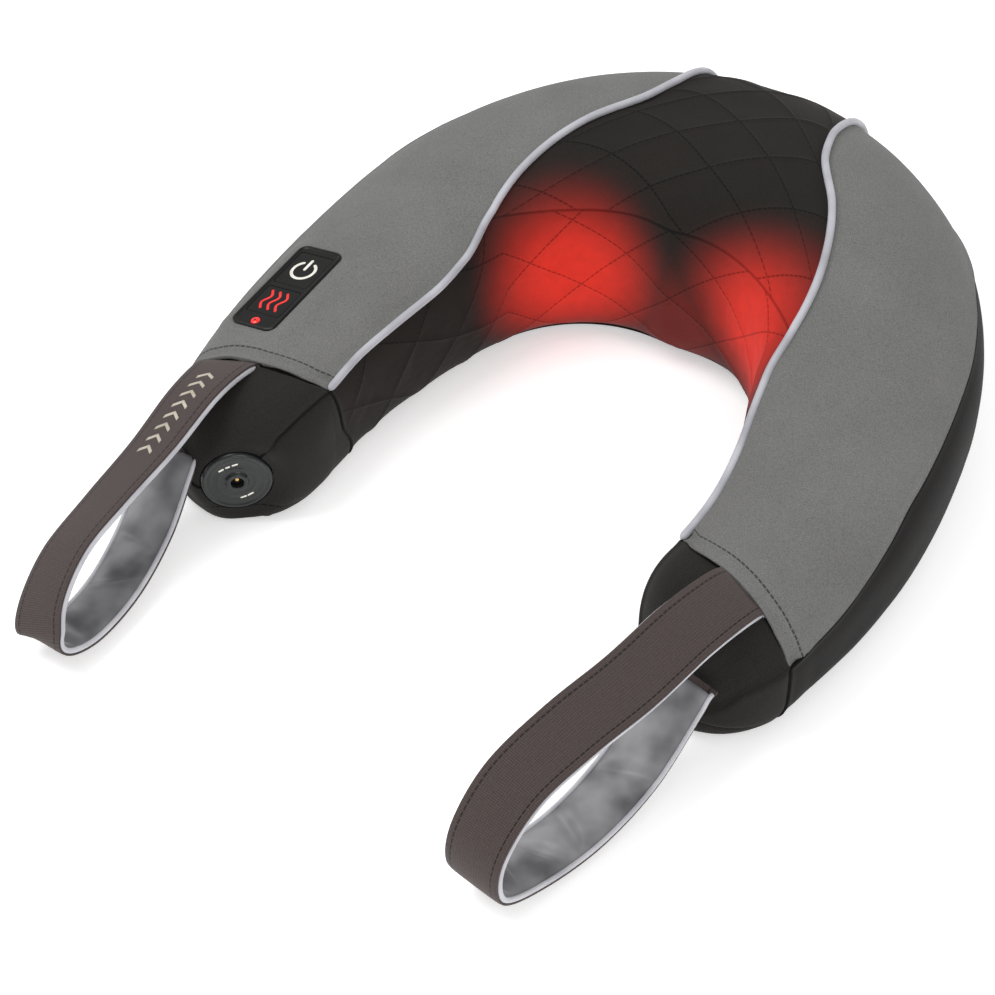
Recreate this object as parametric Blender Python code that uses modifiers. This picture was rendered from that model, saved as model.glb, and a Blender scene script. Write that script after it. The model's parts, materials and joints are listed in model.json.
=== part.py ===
"""Shiatsu neck massager: a U-shaped cushion with a geared two-head massage unit.

Metres, +Z up. The cushion lies flat on its base with the closed end of the U,
the neck end, towards +Y and the two arms towards -Y. X = 0 is the middle.
"""

import math

import bmesh
import bpy
import numpy as np
from mathutils import Matrix, Vector

NAME = "shiatsu_neck_massager"

# The cushion's plan is drawn from the neck bend; this moves it so that the
# origin is under the middle of the whole object, straps included.
FRAME_SHIFT = (0, 0.0127, 0)

# Cushion plan: a neck bend and a gentler arm bend on each side of X = 0.
BACK_Y = 0.156
NECK_RADIUS = 0.1219
NECK_TURN = math.radians(72.8)
ARM_RADIUS = 0.3505
ARM_TURN = math.radians(24.6)
ARM_LENGTH = NECK_RADIUS * NECK_TURN + ARM_RADIUS * ARM_TURN

# Cushion section at four stations from the neck middle (0) to the arm's hem (1).
STATIONS = (0, 0.3, 0.65, 1)
HALF_WIDTHS = (0.0762, 0.0608, 0.0494, 0.0396)
HEIGHTS = (0.1061, 0.1004, 0.0756, 0.0650)
NOSE_LENGTH = 0.0449
WAIST = 0.448  # height of the widest line, as a share of the section's height
OUTER_TOP_POWER = 2.41
INNER_TOP_POWER = 3.10
BOTTOM_POWER = 4.16
PLAN_POWER = 2.24
FALL_POWER = 2.78

# Seams, as section angles in degrees: 0 outer side, 90 top, 180 inner side.
# The piping climbs the back, crosses the top and follows the inner edge to the hem.
PIPING = (
    (0.085, 4), (0.093, 35), (0.104, 55), (0.125, 73), (0.170, 88), (0.255, 99), (0.350, 110),
    (0.440, 119), (0.530, 128), (0.605, 137), (0.690, 140.5), (0.790, 139.5), (0.890, 138.5),
    (1, 141),
)
GUSSET = (
    (0, 2.4), (0.085, 3), (0.2, 16), (0.3, 27), (0.395, 35),
    (0.74, 36.5), (0.8, 33), (0.85, 29), (0.91, 23), (1, 15.5),
)
INNER_SEAM_ANGLES = (147, 128)
INNER_SEAM_END = 0.530
INNER_SEAM_POWER = 3.2
LOWER_ANGLE = 50

# The hem's distance forward of the arm's end, by section angle; it slants back on the inner side.
HEM_LINES = {
    -1: (
        (54, 0.0021), (70, 0), (127, -0.0024), (139, -0.0058),
        (174, -0.0085), (201, -0.0155), (230, -0.0200),
    ),
    1: (
        (38, 0.0160), (56, 0.0139), (94, 0.0063), (128, 0.0012),
        (140, -0.0050), (174, -0.0085), (230, -0.0200),
    ),
}
HEM_REACH = 0.090  # length of arm over which the hem's slant eases in

# Nose seams on the left and right arms: (share of the nose, degrees up from the side).
NOSE_SEAMS = {
    (-1, "outer"): ((0, 15.5), (0.6, 11), (0.85, 3), (1, -12)),
    (-1, "inner"): ((0, 37), (0.44, 40), (0.7, 38), (0.85, 26), (1, -12)),
    (1, "outer"): ((0, 15.5), (0.375, 12), (0.64, 6), (0.81, -10), (1, -25)),
    (1, "inner"): ((0, 37), (0.4, 30), (0.7, 12), (0.85, -10), (1, -25)),
}
NOSE_INSET = 0.0030  # how far the nose's top sits below the hem

FABRIC = 0.0015
SEAM_GAP = 0.0012
CLEARANCE = 0.0003  # between a part and the opening it sits in
NOSE_START = 1.020  # station where the nose's panels begin, clear of the hem
NOSE_GAP = 1.2  # half of the nose seam's gap, in degrees
TOP_COLUMNS = 4  # on each side of the middle
PIPING_RADIUS = 0.0018
PIPING_STAND = 0.0012  # clear height of the cord over the seam
FOAM_INSET = 0.0058
FOAM_SPLIT = 0.45  # station where the neck core ends and an arm core begins
FOAM_SPLIT_GAP = 0.02
NECK_FOAM_FRONT = 0.0150  # from the centreline to the core's front face
BASE_SHARE = 0.75
BASE_INSET = 0.0036

# Massage unit: a vertical worm drives two canted gear trains.
HEAD_Z = 0.051
WORM_Y = 0.140
CANT = math.radians(25)
MODULE = 0.0018
WORM_PITCH_RADIUS = 0.005
WORM_LENGTH = 0.020
WHEEL_TEETH = 22
PINION_TEETH = 10
HEAD_TEETH = 36
WHEEL_X = WORM_PITCH_RADIUS + MODULE * WHEEL_TEETH / 2
HEAD_X = WHEEL_X + MODULE * (PINION_TEETH + HEAD_TEETH) / 2
LEAD_ANGLE = math.atan(MODULE / (2 * WORM_PITCH_RADIUS))
WHEEL_WIDTH = 0.007
PINION_Z = 0.0050  # from the wheel's middle plane towards the neck
PINION_WIDTH = 0.0072
AXLE_RADIUS = 0.0025
HEAD_AXLE_RADIUS = 0.0040
HUB_RADIUS = 0.0065
SHAFT_RADIUS = 0.0015
PLATE = 0.0025
FRONT_PLATE_Z = 0.0130
REAR_PLATE_Z = -0.0165
PLATE_BOTTOM = 0.012
PLATE_TOP = 0.0865
PLATE_REACH = 0.0995
POST_REACH = 0.0955
POST_RISE = 0.032
ROTOR_Z = 0.0165
ROTOR_RADIUS = 0.033
ROTOR_PLATE = 0.003
NODE_RADIUS = 0.0115
NODE_HEIGHT = 0.0130
NODE_OFFSET = 0.0205
MOTOR_RADIUS = 0.0120
MOTOR_BOTTOM = 0.0045
MOTOR_TOP = 0.0315

# Control panel on top of the left arm.
PANEL_STATION = 0.835
PANEL_ANGLE = 72.4
PANEL_PITCH = math.radians(5)
PANEL_ROLL = math.radians(10)
PANEL_WIDTH = 0.026
PANEL_LENGTH = 0.062
PANEL_THICKNESS = 0.0030
PANEL_PROUD = 0.0012
POWER_KEY = (0.0200, 0.0240, 0.0138)  # width, length, place along the panel
HEAT_KEY = (0.0200, 0.0195, -0.0112)
LED_PLACE = -0.0262
LED_RADIUS = 0.0024
KEY_DEPTH = 0.0040
KEY_PROUD = 0.0002
KEY_LIP = 0.0008
LIP_THICKNESS = 0.0012
BOARD = 0.0012
BOARD_Z = -0.0078
TRAY_DEPTH = 0.0090
TRAY_WALL = 0.0015

# Power inlet on the inner front of the left nose: the middle of its face and where it looks.
JACK_DIRECTION = (0.643, -0.766, 0)
JACK_FACE = (-0.1132, -0.1187, 0.0264)
JACK_RADIUS = 0.0170
JACK_SLEEVE = 0.0080

# Strap loops: root X and Y, yaw inwards in degrees, then points along the outer face as
# distance forward of the root, distance outwards, height and the outer edge's dip in degrees.
STRAP_WIDTH = 0.029
STRAPS = {
    "right": (0.1345, -0.0878, 11.1, (
        (0.006, 0, 0.0645, 14), (0.0369, 0, 0.0656, 21), (0.0750, 0.0010, 0.0630, 20),
        (0.1119, -0.0010, 0.0623, 15), (0.1446, -0.0025, 0.0553, 6), (0.1667, -0.0019, 0.0361, -1),
        (0.1680, 0, 0.0145, 0), (0.1447, 0.0025, 0.0045, 4), (0.1107, 0.0050, 0.0036, 4),
        (0.0759, 0.0042, 0.0112, 0), (0.0455, 0.0010, 0.0275, -5), (0.0385, 0.0005, 0.0325, -5),
    )),
    "left": (-0.1424, -0.0806, 4.0, (
        (0.006, 0, 0.0640, 14), (0.0313, 0.0006, 0.0640, 19), (0.0640, 0.0025, 0.0565, 23),
        (0.0966, 0.0065, 0.0492, 26), (0.1273, 0.0092, 0.0417, 27), (0.1502, 0.0079, 0.0276, 22),
        (0.1587, 0.0027, 0.0147, 8), (0.1416, -0.0022, 0.0060, -8), (0.1109, -0.0035, 0.0066, -12),
        (0.0771, 0, 0.0145, -10), (0.0520, 0.0045, 0.0290, -4), (0.0455, 0.0052, 0.0335, -3),
    )),
}
WEBBING = 0.0016
LINING = 0.0022
LINING_GAP = 0.0004
LINING_START = 0.017  # from the root, where the loop has left the nose
STRAP_STEPS = 4
BAND_COLUMNS = 4
LINING_SHORT = 0.0012  # how far the lining's edges stay inside the webbing's

LEAD_RADIUS = 0.0013
LEADS = {
    "inlet_lead": (
        (-0.1250, -0.1046, 0.0264), (-0.1310, -0.0950, 0.0262), (-0.1385, -0.0800, 0.0290),
        (-0.1425, -0.0620, 0.0370), (-0.1436, -0.0500, 0.0470), (-0.1436, -0.0470, 0.0556),
    ),
    "drive_lead": (
        (-0.1440, -0.0061, 0.0590), (-0.1440, -0.0030, 0.0500), (-0.1440, 0.0120, 0.0420),
        (-0.1410, 0.0320, 0.0390), (-0.1370, 0.0550, 0.0380), (-0.1260, 0.0790, 0.0380),
        (-0.1130, 0.1000, 0.0400), (-0.1008, 0.1175, 0.0420), (-0.0850, 0.1300, 0.0430),
        (-0.0550, 0.1470, 0.0420), (-0.0250, 0.1620, 0.0330), (-0.0110, 0.1640, 0.0180),
        (-0.0060, 0.1600, 0.0085), (-0.0040, 0.1540, 0.0085),
    ),
}


def blend_value(values, s):
    """Smooth value at station s from the four section stations."""
    return float(np.polyval(np.polyfit(STATIONS, values, 3), s))


def centre(s):
    """Centreline point and heading at share s of the right arm's length."""
    run = s * ARM_LENGTH
    turn = min(run / NECK_RADIUS, NECK_TURN)
    heading = turn + max(run - NECK_RADIUS * NECK_TURN, 0) / ARM_RADIUS
    x = NECK_RADIUS * math.sin(turn)
    y = BACK_Y - NECK_RADIUS * (1 - math.cos(turn))
    x += ARM_RADIUS * (math.sin(heading) - math.sin(turn))
    y -= ARM_RADIUS * (math.cos(turn) - math.cos(heading))
    return x, y, heading


def superellipse(angle, power):
    """Unit superellipse point at a true polar angle."""
    c, s = math.cos(angle), math.sin(angle)
    reach = (abs(c) ** power + abs(s) ** power) ** (-1 / power)
    return c * reach, s * reach


def slanted(s, degrees):
    """Station and nose share of a point, moved with the hem's slant."""
    side = -1 if s < 0 else 1
    shift = float(np.interp(degrees, *zip(*HEM_LINES[side])))
    if abs(s) > 1:
        run = ARM_LENGTH + shift + (NOSE_LENGTH - shift) * (min(abs(s), 2) - 1)
    else:
        ease = min(max(1 - (1 - abs(s)) * ARM_LENGTH / HEM_REACH, 0), 1)
        run = abs(s) * ARM_LENGTH + shift * ease * ease * (3 - 2 * ease)
    return min(run / ARM_LENGTH, 1), min(max(run - ARM_LENGTH, 0) / NOSE_LENGTH, 1)


def surface(s, degrees, inset=0.0):
    """Cushion surface point; |s| past 1 runs over the nose, s < 0 is the left side."""
    side = -1 if s < 0 else 1
    along, nose = slanted(s, degrees)
    x, y, heading = centre(along)
    angle = math.radians(degrees)
    top_power = OUTER_TOP_POWER if math.cos(angle) > 0 else INNER_TOP_POWER
    across, up = superellipse(angle, top_power if math.sin(angle) > 0 else BOTTOM_POWER)
    high = blend_value(HEIGHTS, along)
    waist = WAIST * high
    wide = (blend_value(HALF_WIDTHS, along) - inset) * (1 - nose**PLAN_POWER) ** (1 / PLAN_POWER)
    fall = (1 - nose**FALL_POWER) ** (1 / FALL_POWER)
    forward = (NOSE_LENGTH - inset) * nose
    lateral = wide * across
    z = waist + ((high - inset - waist) * fall * up if up > 0 else (waist - inset) * up)
    x += forward * math.cos(heading) + lateral * math.sin(heading)
    y += -forward * math.sin(heading) + lateral * math.cos(heading)
    return Vector((side * x, y, z))


def piping_angle(s):
    return float(np.interp(abs(s), *zip(*PIPING)))


def gusset_angle(s):
    return float(np.interp(abs(s), *zip(*GUSSET)))


def inner_seam_angle(s):
    """Seam under the quilted top: its own arc, then the piping past the arc's end."""
    if abs(s) >= INNER_SEAM_END:
        return piping_angle(s)
    high, low = INNER_SEAM_ANGLES
    return high + (low - high) * (abs(s) / INNER_SEAM_END) ** INNER_SEAM_POWER


def spaced(start, end, count):
    return [start + (end - start) * i / count for i in range(count + 1)]


def clear_scene():
    for item in list(bpy.data.objects):
        bpy.data.objects.remove(item, do_unlink=True)


def new_collection(name):
    group = bpy.data.collections.new(name)
    bpy.context.scene.collection.children.link(group)
    return group


clear_scene()
PARTS = new_collection(NAME)
CUTTERS = new_collection("cutters")


def material(name, colour, roughness, metallic=0.0):
    found = bpy.data.materials.get(name)
    if found:
        return found
    made = bpy.data.materials.new(name)
    made.use_nodes = True
    shader = made.node_tree.nodes["Principled BSDF"]
    shader.inputs["Base Color"].default_value = (*colour, 1)
    shader.inputs["Roughness"].default_value = roughness
    shader.inputs["Metallic"].default_value = metallic
    return made


LOOKS = {
    "grey_knit": ((0.19, 0.19, 0.19), 0.9),
    "quilt": ((0.030, 0.024, 0.020), 0.85),
    "plain_black": ((0.038, 0.036, 0.034), 0.9),
    "piping": ((0.42, 0.42, 0.45), 0.5),
    "webbing": ((0.085, 0.062, 0.056), 0.85),
    "satin": ((0.30, 0.30, 0.32), 0.4),
    "foam": ((0.75, 0.72, 0.62), 1.0),
    "housing": ((0.05, 0.05, 0.055), 0.5),
    "gear": ((0.72, 0.70, 0.64), 0.45),
    "node": ((0.55, 0.56, 0.58), 0.4),
    "gloss_black": ((0.012, 0.012, 0.012), 0.12),
    "red_lens": ((0.6, 0.02, 0.01), 0.2),
    "board": ((0.02, 0.16, 0.06), 0.5),
    "lead": ((0.03, 0.03, 0.03), 0.5),
}
METALS = {
    "steel": ((0.58, 0.58, 0.60), 0.35),
    "brass": ((0.72, 0.52, 0.20), 0.35),
}


def look(name):
    if name in METALS:
        return material(name, *METALS[name], metallic=1.0)
    return material(name, *LOOKS[name])


def place(mesh, name, colour, matrix=None, smooth=True):
    """An object from a mesh, placed by a matrix, in the parts collection."""
    made = bpy.data.objects.new(name, mesh)
    PARTS.objects.link(made)
    if matrix is not None:
        made.matrix_world = matrix
    if colour:
        mesh.materials.append(look(colour))
    if smooth:
        mesh.shade_smooth()
        mesh.set_sharp_from_angle(angle=math.radians(35))
    return made


def mesh_from(build, name):
    """A mesh filled by a function that is handed an empty bmesh."""
    shape = bmesh.new()
    build(shape)
    bmesh.ops.recalc_face_normals(shape, faces=shape.faces)
    mesh = bpy.data.meshes.new(name)
    shape.to_mesh(mesh)
    shape.free()
    return mesh


def cylinder(name, colour, radius, low, high, matrix, sides=20):
    """A cylinder along its own Z from low to high."""

    def build(shape):
        move = Matrix.Translation((0, 0, (low + high) / 2))
        bmesh.ops.create_cone(
            shape, cap_ends=True, segments=sides, radius1=radius, radius2=radius,
            depth=high - low, matrix=move,
        )

    return place(mesh_from(build, name), name, colour, matrix)


def box(name, colour, size, middle, matrix):
    """A box of a size about its middle."""

    def build(shape):
        here = Matrix.Translation(middle) @ Matrix.Diagonal((*size, 1))
        bmesh.ops.create_cube(shape, size=1, matrix=here)

    return place(mesh_from(build, name), name, colour, matrix, smooth=False)


def turned(name, colour, profile, matrix, steps=20):
    """A solid of revolution about its own Z; the profile runs top to bottom."""

    def build(shape):
        points = [shape.verts.new((r, 0, z)) for r, z in profile]
        for a, b in zip(points, points[1:]):
            shape.edges.new((a, b))
        bmesh.ops.remove_doubles(shape, verts=shape.verts, dist=0.000001)

    mesh = mesh_from(build, name)
    made = place(mesh, name, colour, matrix, smooth=False)
    screw = made.modifiers.new("turn", "SCREW")
    screw.steps = steps
    screw.render_steps = steps
    screw.use_merge_vertices = True
    screw.merge_threshold = 0.00001
    screw.use_normal_calculate = False
    return made


def boolean(target, other, operation):
    """Cut or join with a cutter, which is hidden and stays out of the build."""
    for group in list(other.users_collection):
        group.objects.unlink(other)
    CUTTERS.objects.link(other)
    other.hide_render = True
    other.display_type = "WIRE"
    step = target.modifiers.new(operation.lower(), "BOOLEAN")
    step.operation = operation
    step.solver = "EXACT"
    step.object = other


def patch(name, colour, rows, thickness=FABRIC):
    """A fabric panel: a grid of surface points given a thickness on its inner side."""
    mesh = bpy.data.meshes.new(name)
    shape = bmesh.new()
    grid = [[shape.verts.new(point) for point in row] for row in rows]
    for low, high in zip(grid, grid[1:]):
        for i in range(len(low) - 1):
            shape.faces.new((low[i], low[i + 1], high[i + 1], high[i]))
    bmesh.ops.remove_doubles(shape, verts=shape.verts, dist=0.00005)
    bmesh.ops.recalc_face_normals(shape, faces=shape.faces)
    probe = shape.faces[len(shape.faces) // 2]
    if probe.normal.dot(outward_at(probe.calc_center_median())) < 0:
        bmesh.ops.reverse_faces(shape, faces=shape.faces)
    shape.to_mesh(mesh)
    shape.free()
    made = place(mesh, name, colour)
    skin = made.modifiers.new("fabric", "SOLIDIFY")
    skin.thickness = thickness
    skin.offset = -1
    return made


def outward_at(point):
    """Direction out of the cushion, from its centreline to a point."""
    best = min(
        (centre(s)[:2] for s in spaced(0, 1, 40)),
        key=lambda c: (abs(point.x) - c[0]) ** 2 + (point.y - c[1]) ** 2,
    )
    side = -1 if point.x < 0 else 1
    return Vector((point.x - side * best[0], point.y - best[1], point.z - WAIST * HEIGHTS[0]))


def rows_between(stations, low_angle, high_angle, count):
    """Rows across a panel between two seams, one row at each station."""
    rows = []
    for s in stations:
        low, high = low_angle(s), high_angle(s)
        rows.append([surface(s, low + (high - low) * i / count) for i in range(count + 1)])
    return rows


def gap_angle(s):
    """Half of a seam's gap as a section angle."""
    size = blend_value(HALF_WIDTHS, min(abs(s), 1))
    return math.degrees(SEAM_GAP / 2 / size)


def nose_seam_angle(s, face):
    """Angle up from the side of a nose's outer or inner seam."""
    side = -1 if s < 0 else 1
    return float(np.interp(abs(s) - 1, *zip(*NOSE_SEAMS[side, face])))


def mirrored(stations):
    return [-s for s in reversed(stations[1:])] + stations


def build_cover():
    """Fabric panels: outer wall, inner wall, quilted top and the two grey panels."""
    piped = [s for s, angle in PIPING[1:]]
    patch(
        "outer_wall_panel", "plain_black",
        rows_between(
            mirrored([0, 0.045] + piped), lambda s: -LOWER_ANGLE,
            lambda s: gusset_angle(s) - gap_angle(s), 3,
        ),
    )
    seam = spaced(0, INNER_SEAM_END, TOP_COLUMNS)
    patch(
        "quilted_inner_wall", "quilt",
        rows_between(
            mirrored(seam + [s for s in piped if s > INNER_SEAM_END]),
            lambda s: inner_seam_angle(s) + gap_angle(s), lambda s: 180 + LOWER_ANGLE, 4,
        ),
    )
    build_top_panel()
    for side, sign in (("left", -1), ("right", 1)):
        stations = [sign * (s + (0.002 if s == piped[0] else 0)) for s in piped]
        grey = patch(
            side + "_grey_panel", "grey_knit",
            rows_between(
                stations, lambda s: gusset_angle(s) + gap_angle(s),
                lambda s: piping_angle(s) - 3.0 * gap_angle(s), 6,
            ),
        )
        if side == "left":
            boolean(grey, panel_cutter("panel_opening", 0.0005, 0.012), "DIFFERENCE")
        build_nose(side, sign)
        build_piping(side, sign)


def build_top_panel():
    """Quilted top: rows from piping to piping, from the gusset to the inner seam."""
    ends = [(s, angle) for s, angle in PIPING if s <= INNER_SEAM_END]
    rows = []
    for i, (reach, edge) in enumerate(ends):
        share = i / (len(ends) - 1)
        middle = ends[0][1] + (INNER_SEAM_ANGLES[0] - ends[0][1]) * share
        edge += 2 * gap_angle(0.3) * (1 - 2 * share)
        middle -= gap_angle(0.3) * share
        row = []
        for k in range(-TOP_COLUMNS, TOP_COLUMNS + 1):
            part = k / TOP_COLUMNS
            bend = abs(part) ** (2 + (INNER_SEAM_POWER - 2) * share)
            row.append(surface(part * (reach - 0.0025), middle + (edge - middle) * bend))
        rows.append(row)
    patch("quilted_top_panel", "quilt", rows)


def build_nose(side, sign):
    """The plain end panel over the nose and the gusset round its foot."""
    shares = [math.sin(a) for a in spaced(0, math.pi / 2, 6)]
    noses = [sign * min(NOSE_START + (2 - NOSE_START) * share, 2) for share in shares]
    rows = []
    for s in noses:
        low = nose_seam_angle(s, "outer") + NOSE_GAP
        high = 180 - nose_seam_angle(s, "inner") - NOSE_GAP
        row = []
        for share in spaced(0, 1, 8):
            sink = NOSE_INSET * min(1, 4 * min(share, 1 - share))
            row.append(surface(s, low + (high - low) * share, sink))
        rows.append(row)
    end_panel = patch(side + "_end_panel", "plain_black", rows)
    rows = []
    for s in noses:
        top = nose_seam_angle(s, "outer") - NOSE_GAP
        rows.append([surface(s, angle) for angle in spaced(-LOWER_ANGLE, top, 3)])
    for s in noses[-2::-1]:
        top = 180 - nose_seam_angle(s, "inner") + NOSE_GAP
        rows.append([surface(s, angle) for angle in spaced(180 + LOWER_ANGLE, top, 3)])
    gusset = patch(side + "_nose_gusset", "plain_black", rows)
    if side == "left":
        opening = jack_cylinder("jack_opening", JACK_RADIUS + CLEARANCE, -0.02, 0.02)
        boolean(gusset, opening, "DIFFERENCE")
        boolean(end_panel, opening, "DIFFERENCE")


def tube(name, colour, points, radius, resolution=2):
    """A round cord along points, with closed ends."""
    curve = bpy.data.curves.new(name, "CURVE")
    curve.dimensions = "3D"
    line = curve.splines.new("POLY")
    line.points.add(len(points) - 1)
    for target, point in zip(line.points, points):
        target.co = (*point, 1)
    curve.bevel_depth = radius
    curve.bevel_resolution = resolution
    curve.use_fill_caps = True
    made = bpy.data.objects.new(name, curve)
    PARTS.objects.link(made)
    curve.materials.append(look(colour))
    return made


def tube_cutter(name, points, radius):
    """A cutter along points: the cord's own shape as a closed mesh."""
    cord = tube(name + "_line", "lead", points, radius, 1)
    bpy.context.view_layer.update()
    seen = cord.evaluated_get(bpy.context.evaluated_depsgraph_get())
    mesh = bpy.data.meshes.new_from_object(seen)
    shape = bmesh.new()
    shape.from_mesh(mesh)
    bmesh.ops.remove_doubles(shape, verts=shape.verts, dist=0.00001)
    shape.to_mesh(mesh)
    shape.free()
    bpy.data.objects.remove(cord, do_unlink=True)
    return place(mesh, name, None)


def eased(points, steps=4):
    """A smooth curve through points chosen by hand."""
    fine = []
    for i in range(len(points) - 1):
        near = [Vector(points[min(max(i + k, 0), len(points) - 1)]) for k in (-1, 0, 1, 2)]
        for k in range(steps):
            t = k / steps
            turn_in, turn_out = (near[2] - near[0]) / 2, (near[3] - near[1]) / 2
            fine.append(
                near[1] * (2 * t**3 - 3 * t**2 + 1) + turn_in * (t**3 - 2 * t**2 + t)
                + near[2] * (3 * t**2 - 2 * t**3) + turn_out * (t**3 - t**2)
            )
    return fine + [Vector(points[-1])]


def build_leads():
    """Internal leads: inlet to board, and board to motor, in tunnels through the foam."""
    core = PARTS.objects["left_arm_foam_core"]
    tray = PARTS.objects["control_tray"]
    for name, points in LEADS.items():
        tube(name, "lead", eased(points), LEAD_RADIUS)
        tunnel = tube_cutter(name + "_tunnel", eased(points), LEAD_RADIUS + 2 * CLEARANCE)
        boolean(core, tunnel, "DIFFERENCE")
        boolean(tray, tunnel, "DIFFERENCE")


def build_piping(side, sign):
    """The corded edge that lies on the seam of the grey panel."""
    points = []
    knots = [s for s, angle in PIPING]
    middles = [(a + b) / 2 for a, b in zip(knots, knots[1:])]
    for s in sorted(knots + middles):
        angle = piping_angle(s)
        point = surface(sign * s, angle)
        before, after = surface(sign * s, angle - 2), surface(sign * s, angle + 2)
        along = surface(sign * (s + 0.01), angle) - surface(sign * (s - 0.01), angle)
        out = (after - before).cross(along).normalized()
        if out.dot(outward_at(point)) < 0:
            out = -out
        points.append(point + out * (PIPING_RADIUS + PIPING_STAND))
    tube(side + "_piping", "piping", points, PIPING_RADIUS, 1)


def build_base():
    """The flat fabric base on which the cushion rests."""
    rows = []
    arm = spaced(0, 1, 11) + [1 + math.sin(a) * 0.88 for a in spaced(0, math.pi / 2, 4)[1:]]
    for s in [-s for s in reversed(arm[1:])] + arm:
        outer, inner = surface(s, 0), surface(s, 180)
        middle = (outer + inner) / 2
        half = (outer - inner) / 2
        reach = BASE_SHARE - BASE_INSET / half.length
        row = []
        for share in (-reach, 0, reach):
            point = middle + half * share
            row.append(Vector((point.x, point.y, 0)))
        rows.append(row)
    patch("base_panel", "plain_black", rows)


def closed_loft(name, colour, rings):
    """A solid through rings of points with flat ends."""

    def build(shape):
        loops = [[shape.verts.new(point) for point in ring] for ring in rings]
        count = len(loops[0])
        for low, high in zip(loops, loops[1:]):
            for i in range(count):
                j = (i + 1) % count
                shape.faces.new((low[i], low[j], high[j], high[i]))
        shape.faces.new(loops[0])
        shape.faces.new(loops[-1])

    return place(mesh_from(build, name), name, colour)


def build_foam():
    """Foam cores: one behind the massage unit and one filling each arm."""
    behind = (-44, -18, 4, 24, 44, 60, 74)
    rings = []
    for s in spaced(-FOAM_SPLIT + FOAM_SPLIT_GAP, FOAM_SPLIT - FOAM_SPLIT_GAP, 10):
        ring = [surface(s, angle, FOAM_INSET) for angle in behind]
        x, y, heading = centre(abs(s))
        side = -1 if s < 0 else 1
        x += NECK_FOAM_FRONT * math.sin(heading)
        y += NECK_FOAM_FRONT * math.cos(heading)
        foot = Vector((side * x, y, 0))
        ring.append(Vector((foot.x, foot.y, ring[-1].z)))
        ring.append(Vector((foot.x, foot.y, ring[0].z)))
        rings.append(ring)
    closed_loft("neck_foam_core", "foam", rings)
    arm = spaced(FOAM_SPLIT, 1, 5) + [1.5, 1.8, 1.94]
    angles = [-48, -20, 8, 32, 56, 80, 100, 124, 148, 172, 200, 228]
    for side, sign in (("left", -1), ("right", 1)):
        core = closed_loft(
            side + "_arm_foam_core", "foam",
            [[surface(sign * s, angle, FOAM_INSET) for angle in angles] for s in arm],
        )
        if side == "left":
            boolean(core, panel_cutter("tray_pocket", 0.0012, 0.0150), "DIFFERENCE")
            pocket = jack_cylinder("jack_pocket", 0.0095, -0.032, 0.01)
            boolean(core, pocket, "DIFFERENCE")
            recess = jack_cylinder("jack_recess", JACK_RADIUS + 0.001, -JACK_SLEEVE - 0.001, 0.02)
            boolean(core, recess, "DIFFERENCE")


def panel_matrix():
    """Frame of the control panel: its own Y runs along the arm towards the neck."""
    heading = centre(PANEL_STATION)[2]
    spot = surface(-PANEL_STATION, PANEL_ANGLE) + Vector((0, 0, PANEL_PROUD))
    turn = Matrix.Rotation(heading - math.pi / 2, 4, "Z")
    tilt = Matrix.Rotation(PANEL_PITCH, 4, "X") @ Matrix.Rotation(-PANEL_ROLL, 4, "Y")
    return Matrix.Translation(spot) @ turn @ tilt


def panel_cutter(name, margin, depth):
    size = (PANEL_WIDTH + 2 * margin, PANEL_LENGTH + 2 * margin, depth + 0.01)
    return box(name, None, size, (0, 0, 0.01 - size[2] / 2), panel_matrix())


def build_controls():
    """Glossy control bezel with two keys and an indicator, over a tray and board."""
    frame = panel_matrix()
    size = (PANEL_WIDTH, PANEL_LENGTH, PANEL_THICKNESS)
    bezel = box("control_bezel", "gloss_black", size, (0, 0, -PANEL_THICKNESS / 2), frame)
    for name, (wide, long, along) in (("power_button", POWER_KEY), ("heat_button", HEAT_KEY)):
        here = frame @ Matrix.Translation((0, along, 0))
        opening = (wide + 2 * CLEARANCE, long + 2 * CLEARANCE, 0.02)
        boolean(bezel, box(name + "_opening", None, opening, (0, 0, 0), here), "DIFFERENCE")
        middle = (0, 0, KEY_PROUD - KEY_DEPTH / 2)
        key = box(name, "gloss_black", (wide, long, KEY_DEPTH), middle, here)
        flange = (wide + 2 * KEY_LIP, long + 2 * KEY_LIP, LIP_THICKNESS)
        middle = (0, 0, -PANEL_THICKNESS - CLEARANCE - LIP_THICKNESS / 2)
        boolean(key, box(name + "_lip", None, flange, middle, here), "UNION")
    led = frame @ Matrix.Translation((0, LED_PLACE, 0))
    opening = cylinder("led_opening", None, LED_RADIUS + CLEARANCE, -0.01, 0.01, led)
    boolean(bezel, opening, "DIFFERENCE")
    cylinder("heat_indicator_lens", "red_lens", LED_RADIUS, -0.0055, 0.0003, led, 16)
    size = (PANEL_WIDTH - 0.0045, PANEL_LENGTH - 0.0060, BOARD)
    board = box("control_board", "board", size, (0, 0, BOARD_Z), frame)
    for name, key in (("power_switch", POWER_KEY), ("heat_switch", HEAT_KEY)):
        switch = box(name, None, (0.006, 0.006, 0.0018), (0, key[2], BOARD_Z + BOARD), frame)
        boolean(board, switch, "UNION")
    build_tray(frame)


def build_tray(frame):
    """Open-topped tray under the bezel, holding the board."""
    middle = -PANEL_THICKNESS - CLEARANCE - TRAY_DEPTH / 2
    size = (PANEL_WIDTH, PANEL_LENGTH, TRAY_DEPTH)
    tray = box("control_tray", "housing", size, (0, 0, middle), frame)
    size = (PANEL_WIDTH - 2 * TRAY_WALL, PANEL_LENGTH - 2 * TRAY_WALL, TRAY_DEPTH)
    hollow = box("tray_hollow", None, size, (0, 0, middle + TRAY_WALL), frame)
    boolean(tray, hollow, "DIFFERENCE")


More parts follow.
